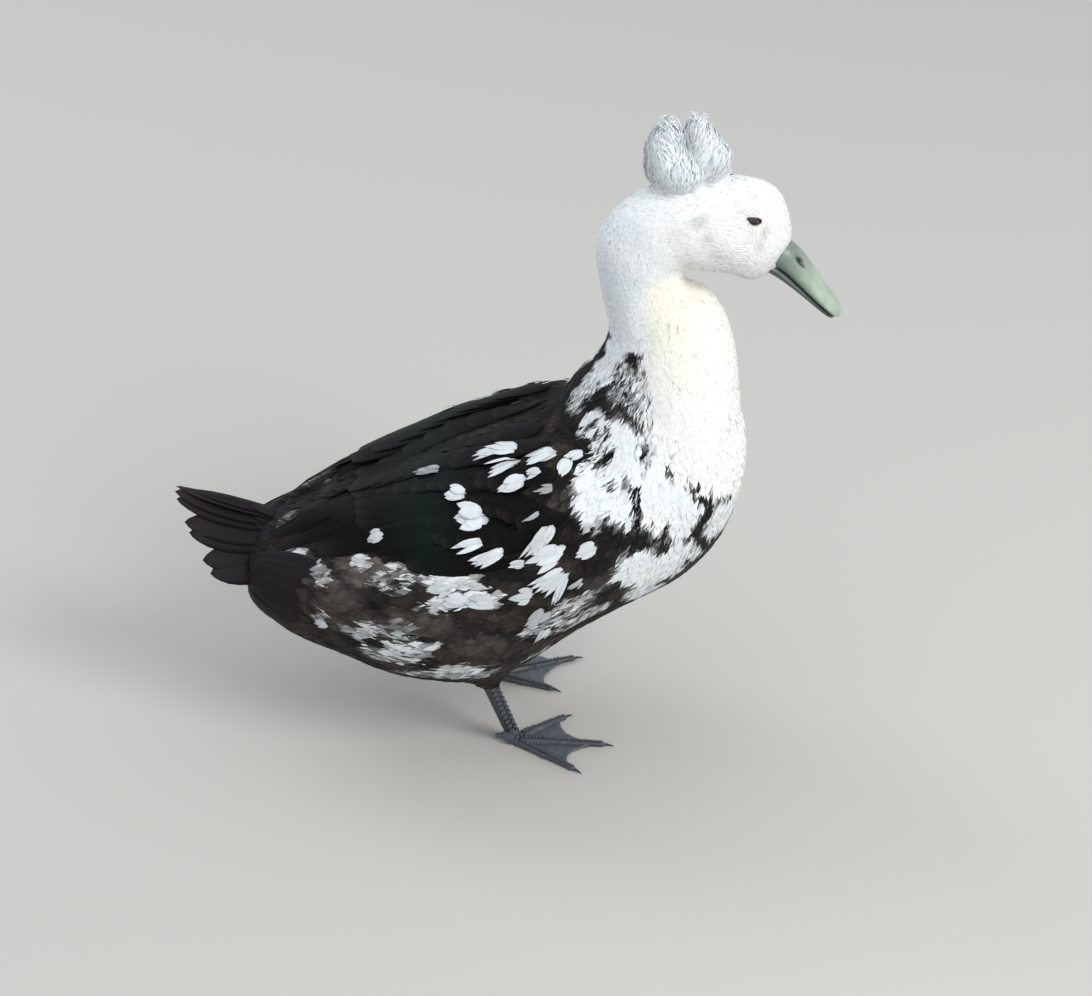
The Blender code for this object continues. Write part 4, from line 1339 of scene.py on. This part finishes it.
def leaf_blades(leaves, draw):
    """Root, way, length, width, tone and extra height of every blade of the white leaves."""
    blades = []
    for leaf in leaves:
        for across in draw.permutation(np.linspace(-1, 1, LEAF_BLADES)):
            out = leaf.across * across
            behind = leaf.long * (1.0 + draw.uniform(-0.12, 0.12) - 0.15 * across ** 2)
            root = leaf.spot - leaf.along * behind + out * leaf.wide * 0.42
            way = leaf.along + out * draw.uniform(-0.10, 0.22)
            blades.append((root, way + leaf.across * draw.normal() * 0.08,
                           leaf.long * draw.uniform(1.45, 2.10) * (1 - 0.25 * across ** 2),
                           leaf.wide * draw.uniform(0.70, 1.10),
                           leaf.tone * draw.uniform(0.82, 1.0), draw.uniform(0, 0.5) * MM))
    return (np.array(column) for column in zip(*blades))


def streaked(vane, profile, strength, count, draw):
    """Shades for all points: a profile of painted shade along the feather, and barbs that stray
    from it.
    """
    streaks = draw.normal(size=(count, vane.column.max() + 1))
    return profile[vane.row][None] + strength * streaks[:, vane.column]


def plant_leaves(side):
    """The white leaves of one side."""
    drift, seed = (0.0, 21) if side == "right" else (FAR_DRIFT, 22)
    leaves = place_marks(LEAVES, SIDES[side], drift, seed)
    if side == "left":
        leaves = [leaf for leaf in leaves if leaf.spot[1] > PLAIN_BACK]
    draw = np.random.default_rng(seed)
    roots, ways, lengths, widths, tones, extra = leaf_blades(leaves, draw)
    places, ups = march(roots, ways, lengths, LEAF.stops, skin_ground, 0.5)
    _, _, depths = coat_at(roots)
    rise = depths[:, None] * (0.35 + 0.75 * LEAF.stops[None])
    places = on_top(places + ups * rise[:, :, None], ups)
    rise = (LEAF_LIFT + extra)[:, None] * np.minimum(1.0, LEAF.stops * 3)[None]
    places = places + ups * rise[:, :, None]
    # Painted shade: each leaf darkens towards its tucked-in root, and its white is bluish sky
    # shade.
    root_shade = streaked(LEAF, 0.6 + 0.4 * step(0.02, 0.35, LEAF.stops), 0.03, len(roots), draw)
    colours = mix(BROWN, SKY_SHADED_WHITE, tones)[:, None] * root_shade[:, :, None]
    obj = clothe("white_feathers_" + side, LEAF, places, ups, widths,
                 np.clip(colours, 0, MOST_LIGHT), 0.04, 0.25 * MM, 0.0, 0.5)
    finish_piece(obj, down_finish, "white_plumage")


for side in SIDES:
    plant_leaves(side)

# %% [markdown]
# ## The tail
# Twelve stiff feathers grow in a fan from the end of the body. The middle pair lies on top and
# each next one is tucked under it and sits lower, so the fan is shaped like a shallow roof.
# Shorter coverts hide the roots above and below. The feathers could follow the skin like those of
# the wing, but the fan reaches far beyond it. So one function gives every place on the roof.

# %% The roof of the tail
TAIL_ROOT = Vector((-0.1328, 0.0, 0.1560))
TAIL_TIP = Vector((-0.2262, 0.0, 0.1835))
TAIL_HALF_ROOT = 0.020      # half the width of the fan at its root and at its tip
TAIL_HALF_TIP = 0.057
TAIL_DROP = 0.056           # the outermost feathers sit this much lower
RECTRIX = make_vane((0, 0.1, 0.25, 0.4, 0.52, 0.64, 0.75, 0.85, 0.92, 0.97, 1.0),
                    (0, 0.6, 0.8, 0.92, 1.0, 1.0, 0.92, 0.74, 0.50, 0.26, 0), 8, 0.0, 0.0)
TAIL_PLACES = (0.06, 0.16, 0.40, 0.50, 0.74, 0.86)      # the feathers of a side lie in pairs


def tail_point(share, across):
    """A place on the fan: share of its length, and -1 to 1 across it."""
    out = max(0.0, share)
    half = between(TAIL_HALF_ROOT, TAIL_HALF_TIP, out ** 0.8)
    rise = between(TAIL_ROOT.z, TAIL_TIP.z, out ** 1.15)
    drop = TAIL_DROP * (0.30 + 0.70 * share) * abs(across) ** 1.7
    return Vector((between(TAIL_ROOT.x, TAIL_TIP.x, share), half * across, rise - drop))


# %% Tail feathers and their coverts
SMALL = 0.01                # a short way on the fan, to find its slope
EDGE_SINK = 3.0 * MM        # each feather lies lower than the one nearer the middle


def fan(name, across_all, first, last, height, width, colour):
    """Feathers side by side, from share first to last of the fan, at a height above it."""
    vane = RECTRIX
    count = len(across_all)
    places = np.empty((count, len(vane.stops), 3))
    ups = np.empty_like(places)
    for k, across in enumerate(across_all):
        tip = first + (last - first) * (1 - 0.34 * abs(across) ** 1.5)
        level = height - EDGE_SINK * abs(across)
        for n, stop in enumerate(vane.stops):
            share = first + (tip - first) * stop
            here = tail_point(share, across)
            onward = tail_point(share + SMALL, across) - here
            outward = tail_point(share, across + SMALL) - here
            up = onward.cross(outward).normalized()
            if up.z < 0:
                up = -up
            places[k, n] = here + up * level
            ups[k, n] = up
    widths = np.full(count, width)
    draw = np.random.default_rng(count)
    # Painted shade: darker towards the roots that lie under the coverts, lighter towards the tip.
    root_shade = streaked(vane, 0.75 + 0.5 * step(0.6, 1.0, vane.stops), 0.08, count, draw)
    obj = clothe(name, vane, places, ups, widths, colour * root_shade[:, :, None], CROWN, 0.7 * MM,
                 0.35 * MM, 0.2)
    finish_piece(obj, vane_finish, "flight_feathers")
    return obj


rectrices = [sign * across for across in TAIL_PLACES for sign in (-1, 1)]
coverts = list(np.linspace(-0.8, 0.8, 11))
tail = fan("tail_feathers", rectrices, -0.05, 1.0, -0.6 * MM, 24 * MM, TAIL_DARK)
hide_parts("tail")
fan("upper_tail_coverts", coverts, -0.30, 0.46, 1.6 * MM, 17 * MM, TAIL_DARK * 0.7)
fan("under_tail_coverts", coverts, -0.25, 0.50, -5.0 * MM, 16 * MM, TAIL_DARK)

# %% [markdown]
# ## The crest
# The crest grows from a soft knob on the back of the head, which is part of the skin. It could
# be one lumpy solid, but then it looks like wool. Here plumes start all over the knob, climb away
# from its foot and leave it at the top, so that they close to two puffs with a parting between
# them. Fine wisps stand out of the plumes.

# %% Crest plumes
PLUME = make_vane((0, 0.2, 0.42, 0.65, 0.86, 1.0), (0, 0.6, 0.95, 1.0, 0.66, 0), 8, 0.07)
# Blue grey of painted cool shade: the crest as it looks in the shade of a blue sky.
CREST_SKY_SHADE = np.array((0.66, 0.735, 0.785))
CREST_FOOT = np.array((117.0, 0.0, 398.0)) * MM     # plumes run away from this place
CREST_FADE = 14 * MM        # plumes grow to their full length over this height
SKIRT_MORE = 1.8            # how much more often a plume starts on the skirt


def crest_tufts(name, vane, count, seed, long, wide, loft, stiff, stray):
    """Tufts on the knob that run away from its foot. Long, wide and loft are the least and the
    most of their length, width and height over the knob, in millimetres."""
    draw = np.random.default_rng(seed)
    chance = 1.0 + SKIRT_MORE * (crest_roots[:, 2] < CREST_GROUND + CREST_SKIRT)
    picked = draw.choice(len(crest_roots), count, p=chance / chance.sum())
    roots, normals = crest_roots[picked], crest_normals[picked]
    ways = unit(roots - CREST_FOOT) + draw.normal(size=(count, 3)) * stray
    ways = flattened(ways, normals)
    up_knob = step(CREST_GROUND, CREST_GROUND + CREST_FADE, roots[:, 2])
    lengths = draw.uniform(*long, count) * MM * (0.7 + 0.3 * up_knob)
    places, ups = march(roots, ways, lengths, vane.stops, skin_ground, stiff)
    height = draw.uniform(*loft, count) * MM * (0.45 + 0.55 * up_knob)
    places = places + ups * (height[:, None] * (0.1 + 0.9 * vane.stops)[None])[:, :, None]
    widths = draw.uniform(*wide, count) * MM
    # Each plume is tinted by a random share towards the blue grey of painted cool shade.
    base = mix(WHITE, CREST_SKY_SHADE, draw.uniform(0.1, 1.0, count))
    # Painted shade: each plume is a little darker at its root.
    root_shade = (0.90 + 0.10 * step(0.0, 0.6, vane.stops))[vane.row][None, :, None]
    obj = clothe(name, vane, places, ups, widths, base[:, None] * root_shade, 0.03, 0.14 * MM, 0.0, 0.7)
    finish_piece(obj, down_finish, "white_plumage")
    return obj


crest = crest_tufts("crest_plumes", PLUME, 2900, 41, (9, 13), (2.0, 3.2), (1.0, 2.2), 0.35, 0.10)
crest_tufts("crest_wisps", WISP, 2600, 42, (7, 14), (0.7, 1.3), (1.2, 3.2), 0.75, 0.18)
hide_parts("crest")

# %% [markdown]
# ## The bill
# The bill is horn with a soft skin over it: high and narrow at the forehead, flat and wide at
# the end, with a nail at the tip and a nostril on each side. A box could be subdivided and pulled
# into shape, but sections are easier to read and to change. So both halves are spheres whose
# rings are moved onto sections. The nostrils are pressed in on the way.

# %% Bill sections
Section = namedtuple("Section", "x z heading width up down")
UPPER_BILL = [Section(*row) for row in (
    (174.2, 368.0, -40, 0.0, 0.0, 0.0), (180.2, 364.0, -42, 11.0, 11.5, 6.8),
    (190.7, 355.5, -44, 12.2, 11.5, 6.4), (201.7, 344.0, -46, 13.2, 9.2, 5.4),
    (211.7, 333.5, -47, 15.0, 6.6, 4.4), (219.7, 325.0, -48, 14.6, 5.2, 3.4),
    (224.2, 320.0, -52, 8.5, 2.8, 2.8), (225.4, 318.2, -54, 0.0, 0.0, 0.0),
)]
LOWER_BILL = [Section(*row) for row in (
    (168.7, 359.2, -35, 0.0, 0.0, 0.0), (174.7, 356.2, -38, 8.8, 5.0, 4.2),
    (185.7, 348.5, -40, 9.8, 5.0, 3.6), (197.6, 338.4, -44, 10.6, 4.5, 2.8),
    (208.7, 328.4, -45, 11.6, 4.0, 2.2), (216.6, 321.2, -46, 10.6, 3.4, 1.8),
    (220.6, 317.6, -48, 5.8, 2.6, 1.4), (221.8, 316.4, -48, 0.0, 0.0, 0.0),
)]
SAGE = np.array((0.335, 0.415, 0.335))
SAGE_DARK = np.array((0.090, 0.125, 0.110))
SAGE_PALE = np.array((0.385, 0.465, 0.345))
BILL_EDGE_SHADOW = np.array((0.105, 0.150, 0.150))
# Near black of painted shade inside the nostril.
NOSTRIL_SHADOW = np.array((0.004, 0.005, 0.004))
NOSTRIL_AT = 0.30           # share of the upper bill's length
NOSTRIL_UP = 0.70           # height on the section, from 0 at its widest to 1 on the ridge
ROUND_BILL = 64             # points round the bill and along it
ALONG_BILL = 72


def blended(sections, t):
    """Values of a smooth curve through the sections."""
    rows = np.array(sections)
    beyond = (1, 1, 1, -1, -1, -1)      # past an end the sizes go on below zero
    rows = np.vstack([rows[1] * beyond, rows, rows[-2] * beyond])
    k = min(int(t), len(sections) - 2)
    f = t - k
    a, b, c, d = rows[k:k + 4]
    return 0.5 * (2 * b + (c - a) * f + (2 * a - 5 * b + 4 * c - d) * f ** 2
                  + (3 * b - a - 3 * c + d) * f ** 3)


def bill_half(name, sections, colour_of, shape_of, node):
    """One half of the bill. The place on it is a share of its length, and c and s: the cosine
    and sine of the angle round it, so that c is 1 on the left and s is 1 on the ridge."""
    bm = bmesh.new()
    bmesh.ops.create_uvsphere(bm, u_segments=ROUND_BILL, v_segments=ALONG_BILL, radius=1.0)
    colours = []
    for v in bm.verts:
        share = math.acos(max(-1.0, min(1.0, v.co.z))) / math.pi
        around = math.atan2(v.co.y, v.co.x)
        c, s = math.cos(around), math.sin(around)
        x, z, heading, width, up, down = blended(sections, share * (len(sections) - 1))
        out = shape_of(share, c, s)
        across = (max(width, 0.0) + out) * c
        tall = ((up if s > 0 else down) + out) * s
        h = math.radians(heading)
        v.co = Vector((x - math.sin(h) * tall, across, z + math.cos(h) * tall)) * MM
        colours.append(colour_of(share, c, s))
    bmesh.ops.recalc_face_normals(bm, faces=bm.faces)
    half = link_new(name, mesh_of(bm, name))
    colour_mesh(half.data, np.array(colours))
    finish_piece(half, bill_finish, "bill", node)


# %% [markdown]
# ## Horn and scales
# Horn and scales are harder than plumage. A waxy bill could have a subsurface glow, but this one
# is matt. So they share the clouded colour of the plumage, and get a fine cell grain and a thin
# clear coat.

# %% Horn finishes
def horn_material(name, roughness, scale, strength, coat):
    """Clouded colour with fine grain in the relief, under a thin clear coat."""
    mat, tree, shader, place, _ = clouded_material(name, roughness, scale, 5.0, 0.2, 0.82, 1.12)
    shader.inputs["Coat Weight"].default_value = coat
    shader.inputs["Coat Roughness"].default_value = 0.25
    grain = add_node(tree, "ShaderNodeTexVoronoi", Scale=scale * 9)
    tree.links.new(place, grain.inputs["Vector"])
    add_relief(tree, shader, grain.outputs["Distance"], strength, 0.3 * MM)
    return mat


bill_finish = horn_material("bill_horn", 0.42, 130.0, 0.25, 0.25)
leg_finish = horn_material("leg_scales", 0.50, 110.0, 0.7, 0.15)
claw_finish = horn_material("claw_horn", 0.38, 200.0, 0.2, 0.3)


# %% Relief and colour of the bill
def blob(value, middle, size):
    """1 at the middle, fading to 0 over about the given size."""
    return math.exp(-((value - middle) / size) ** 2)


def at_nostril(share, s, length, height):
    return blob(share, NOSTRIL_AT, length) * blob(s, NOSTRIL_UP, height) * (s > 0)


def at_nail(share, c, s, middle, width):
    return blob(share, middle, 0.05) * blob(c, 0.0, width) * (s > 0)


def upper_shape(share, c, s):
    """Millimetres out of the plain sections: the nostril, its rim, the nail and the lip."""
    rim = 0.55 * at_nostril(share, s, 0.066, 0.25)
    pit = 2.2 * at_nostril(share, s, 0.038, 0.12)
    nail = 0.5 * at_nail(share, c, s, 0.93, 0.42)
    lip = 0.35 * blob(s, -0.05, 0.16) * step(0.35, 0.6, share)
    return rim - pit + nail + lip


def upper_colour(share, c, s):
    """Dark at the forehead, pale on the ridge and the nail, with a painted shadow in dark blue
    on the edge below and painted shade in the nostril.
    """
    root = step(0.52, 0.20, share)
    ridge = blob(c, 0.0, 0.30) * step(0.3, 0.6, share) * (s > 0)
    # Painted shadow in dark blue along the lower edge of the upper bill, towards its root.
    edge = step(0.15, -0.25, s) * step(0.62, 0.10, share)
    colour = between(SAGE, SAGE_DARK, 0.75 * root)
    colour = between(colour, SAGE_PALE, max(0.55 * ridge, 0.8 * at_nail(share, c, s, 0.95, 0.5)))
    colour = between(colour, BILL_EDGE_SHADOW, 0.75 * edge)
    # Painted shade: the nostril is near black inside its pit.
    return between(colour, NOSTRIL_SHADOW, step(0.25, 0.60, at_nostril(share, s, 0.044, 0.15)))


def lower_shape(share, c, s):
    """A low swelling along both edges."""
    return 0.25 * blob(s, 0.0, 0.2)


def shadowed_lower_colour(share, c, s):
    """Dark, as a painted shadow under the upper bill, and a little paler towards the tip."""
    return SAGE_DARK * 0.5 + (SAGE - SAGE_DARK) * 0.35 * step(0.4, 0.95, share)


bill_half("upper_bill", UPPER_BILL, upper_colour, upper_shape, "bill_upper")
bill_half("lower_bill", LOWER_BILL, shadowed_lower_colour, lower_shape, "bill_lower")

# %% [markdown]
# ## Eyes
# Each eye is a ball with a slight bulge in front. The pupil is black, the iris a warm dark brown
# and the rest is painted dark as the shadow of the lids. A glass shell over a modelled iris would
# refract as a real eye does, but at this size only the highlight shows. So the ball is solid, its
# rings take the colours, and a smooth clear coat gives the wet highlight.

# %% Eyeballs
eye_finish = plain_material("wet_eye", (0.02, 0.012, 0.01), 0.06)[0]
eye_tree = eye_finish.node_tree
eye_shader = eye_tree.nodes["Principled BSDF"]
eye_shader.inputs["Coat Weight"].default_value = 1.0
eye_shader.inputs["Coat Roughness"].default_value = 0.02
tint = add_node(eye_tree, "ShaderNodeAttribute", attribute_name="plume")
eye_tree.links.new(tint.outputs["Color"], eye_shader.inputs["Base Color"])
PUPIL_EDGE, IRIS_EDGE = math.radians(24), math.radians(52)
IRIS = np.array((0.085, 0.042, 0.020))
# Painted shade: the ball outside the iris is dark, as the shadow of the lids.
LID_SHADOW_DARK = np.array((0.012, 0.008, 0.007))
PUPIL = LID_SHADOW_DARK * 0.4
BULGE = 0.03                # share of the radius
for side in SIDES:
    along, up, out = eye_axes(side)
    bm = bmesh.new()
    turn = out.to_track_quat("Z", "Y").to_matrix().to_4x4()
    bmesh.ops.create_uvsphere(bm, u_segments=64, v_segments=48, radius=EYE_RADIUS, matrix=turn)
    tints = []
    for v in bm.verts:
        angle = v.co.angle(out)
        if angle < PUPIL_EDGE:
            tints.append(PUPIL)
        elif angle < IRIS_EDGE:
            tints.append(IRIS)
        else:
            tints.append(LID_SHADOW_DARK)
        v.co *= 1.0 + BULGE * step(IRIS_EDGE, 0.0, angle)
        v.co += EYES[side]
    ball = link_new("eyeball_" + side, mesh_of(bm, "eyeball_" + side))
    colour_mesh(ball.data, np.array(tints))
    finish_piece(ball, eye_finish, "eye", "eye_" + side)

# %% [markdown]
# ## Webbed feet
# Three toes lie flat on the ground, with a web between them that is drawn into fine creases. The
# feet could be modelled anew, but the frame's solids already have their true shape. So each one is
# melted to a finer, softer surface, and creases that fan out from the heel are pressed into every
# place that is far enough from the line of a toe.

# %% Lines of the toes
HEELS = {"right": Vector((0.0062, -0.0410, 0.0)), "left": Vector((-0.0098, 0.0430, 0.0))}
TOE_TURN = {"right": -4.3, "left": 21.0}
TOES = {"inner": (-43.0, 0.046), "middle": (0.0, 0.063), "outer": (35.0, 0.054)}   # turn, length


def toe_tips(side):
    """The end of each toe line on the ground."""
    tips = {}
    for toe, (turn, length) in TOES.items():
        a = math.radians(TOE_TURN[side] + SIDES[side] * turn)
        tips[toe] = HEELS[side] + Vector((math.cos(a), math.sin(a), 0.0)) * length
    return tips


def toe_distance(point, side):
    """Distance on the ground from the nearest toe line."""
    away = point.to_2d() - HEELS[side].to_2d()
    distances = []
    for tip in toe_tips(side).values():
        leg = (tip - HEELS[side]).to_2d()
        share = max(0.0, min(1.0, away.dot(leg) / leg.length_squared))
        distances.append((away - leg * share).length)
    return min(distances)


# %% Feet with creased webs
SLATE = np.array((0.050, 0.058, 0.072))
WEB_BLUE = np.array((0.085, 0.100, 0.125))
FOOT_GRAIN = 0.75 * MM
SOLE = 0.8 * MM             # below this height the foot stays flat
CREASES = 46                # waves in a full turn round the heel
CREASE_DEPTH = 0.22 * MM
BANDS = 900                 # radians in each metre, so the web's colour waves every 7 mm


def make_foot(side):
    """One foot, melted from its solid, with creases in the webs."""
    foot = melted(merged_copy("foot_" + side), "web_foot_" + side, FOOT_GRAIN, 2)
    colours = []
    for v in foot.data.vertices:
        web = step(3 * MM, 7 * MM, toe_distance(v.co, side))
        away = (v.co - HEELS[side]).to_2d()
        if v.co.z > SOLE:
            v.co.z += math.sin(math.atan2(away.y, away.x) * CREASES) * CREASE_DEPTH * web
        v.co.z = max(v.co.z, 0.0)
        band = 0.8 + 0.2 * math.sin(away.length * BANDS)
        colours.append(between(SLATE, WEB_BLUE, web * band))
    colour_mesh(foot.data, np.array(colours))
    finish_piece(foot, leg_finish, "leg_skin", "foot_" + side)
    return foot


# %% [markdown]
# ## Shanks and claws
# The shank is a round rod of skin over bone, and the claws are small blunt hooks. Both have their
# true shape in the frame. A Subdivision Surface is the quickest way to refine them: a simple one
# for the shank, whose plates hide its facets, and a smoothing one for the claws.

# %% Shanks and claws
def refined(node, name, kind, levels):
    """A copy of a node under a Subdivision Surface."""
    piece = link_new(name, mesh_of(merged_copy(node), name))
    finer = piece.modifiers.new("finer", "SUBSURF")
    finer.subdivision_type = kind
    finer.levels = finer.render_levels = levels
    return piece


def make_shank(side):
    shank = refined("leg_" + side, "shank_" + side, "SIMPLE", 1)
    colour_mesh(shank.data, SLATE * 0.7)
    finish_piece(shank, leg_finish, "leg_skin", "leg_" + side)
    return shank


def make_claws(side):
    for toe in TOES:
        node = f"claw_{toe}_{side}"
        claw = refined(node, "nail_" + node, "CATMULL_CLARK", 2)
        colour_mesh(claw.data, SLATE * 0.45)
        finish_piece(claw, claw_finish, "claw", node)


# %% [markdown]
# ## Plates
# Horny plates overlap along every toe and down the shank. A pattern in the relief could hint at
# them, but their edges show in the outline. A plate is built like a short broad feather, so the
# same function that lays the coat lays them. Rays find the places where they grow.

# %% Plates of toes and shanks
SCUTE = make_vane((0, 0.3, 0.75, 1.0), (0, 0.9, 1.0, 0), 8)
TOE_STEP = 2.5 * MM         # from one plate of a toe to the next
TOE_PLATE = 3.6 * MM
SHANK_PLATE, SHANK_PLATE_WIDE = 4.6 * MM, 5.0 * MM
SHANK_ROWS = 15
SHANK_COLUMNS = ((-40, 0.0), (15, 0.4), (70, 0.0))      # degrees round the shank, and offset
PLATE_SINK = 0.15 * MM      # depth of a plate's root in the skin
PLATE_RISE = 0.25 * MM      # height of its tip above its root
PLATE_FLOOR = 0.3 * MM      # no plate reaches under the sole


def toe_plates(side, tree):
    """Root, normal, way, length and width of each plate along the toes."""
    plates = []
    for tip in toe_tips(side).values():
        way = (tip - HEELS[side]).normalized()
        count = round((tip - HEELS[side]).length / TOE_STEP)
        for k in range(1, count):
            above = HEELS[side].lerp(tip, k / count) + Vector((0, 0, 12 * MM))
            hit, normal, _, _ = tree.ray_cast(above, Vector((0, 0, -1)))
            plates.append((hit, normal, way, TOE_PLATE, (5.6 - 2.4 * k / count) * MM))
    return plates


def shank_plates(side, tree):
    """The same for the plates down the shank."""
    low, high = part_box("leg_" + side)
    middle = (low.y + high.y) / 2
    top = Vector((low.x + 5.5 * MM, middle + SIDES[side] * 2.5 * MM, high.z - 4 * MM))
    bottom = HEELS[side] + Vector((-1.5, 0.0, 11.0)) * MM
    plates = []
    for k in range(SHANK_ROWS):
        for turn, offset in SHANK_COLUMNS:
            spot = top.lerp(bottom, (k + offset) / SHANK_ROWS)
            a = math.radians(turn)
            out = Vector((math.cos(a), SIDES[side] * math.sin(a), 0.0))
            hit, normal, _, _ = tree.ray_cast(spot + out * 30 * MM, -out)
            if hit is not None and hit.z <= high.z - 6 * MM:
                way = (bottom - top).normalized()
                plates.append((hit, normal, way, SHANK_PLATE, SHANK_PLATE_WIDE))
    return plates


def make_plates(side, foot, shank):
    """All plates of one leg as one piece."""
    plates = toe_plates(side, tree_of(foot.data)) + shank_plates(side, tree_of(shank.data))
    roots, normals, ways, lengths, widths = (np.array(column) for column in zip(*plates))
    reach = SCUTE.stops[None, :, None] * lengths[:, None, None] * 0.95
    ups = np.repeat(normals[:, None], len(SCUTE.stops), 1)
    height = (PLATE_RISE * SCUTE.stops - PLATE_SINK)[None, :, None]
    places = roots[:, None] + flattened(ways, normals)[:, None] * reach + ups * height
    # Painted shade: each plate is darker at its root, under the plate before it, and lighter at its
    # tip.
    root_shade = (0.8 + 0.5 * SCUTE.stops)[SCUTE.row]
    colours = np.tile(SLATE * 0.9 * root_shade[:, None], (len(roots), 1))
    scutes = clothe("scutes_" + side, SCUTE, places, ups, widths, colours, 0.16, 0.5 * MM)
    for v in scutes.data.vertices:
        v.co.z = max(v.co.z, PLATE_FLOOR)
    finish_piece(scutes, leg_finish, "leg_skin")


for side in SIDES:
    foot = make_foot(side)
    shank = make_shank(side)
    make_plates(side, foot, shank)
    make_claws(side)
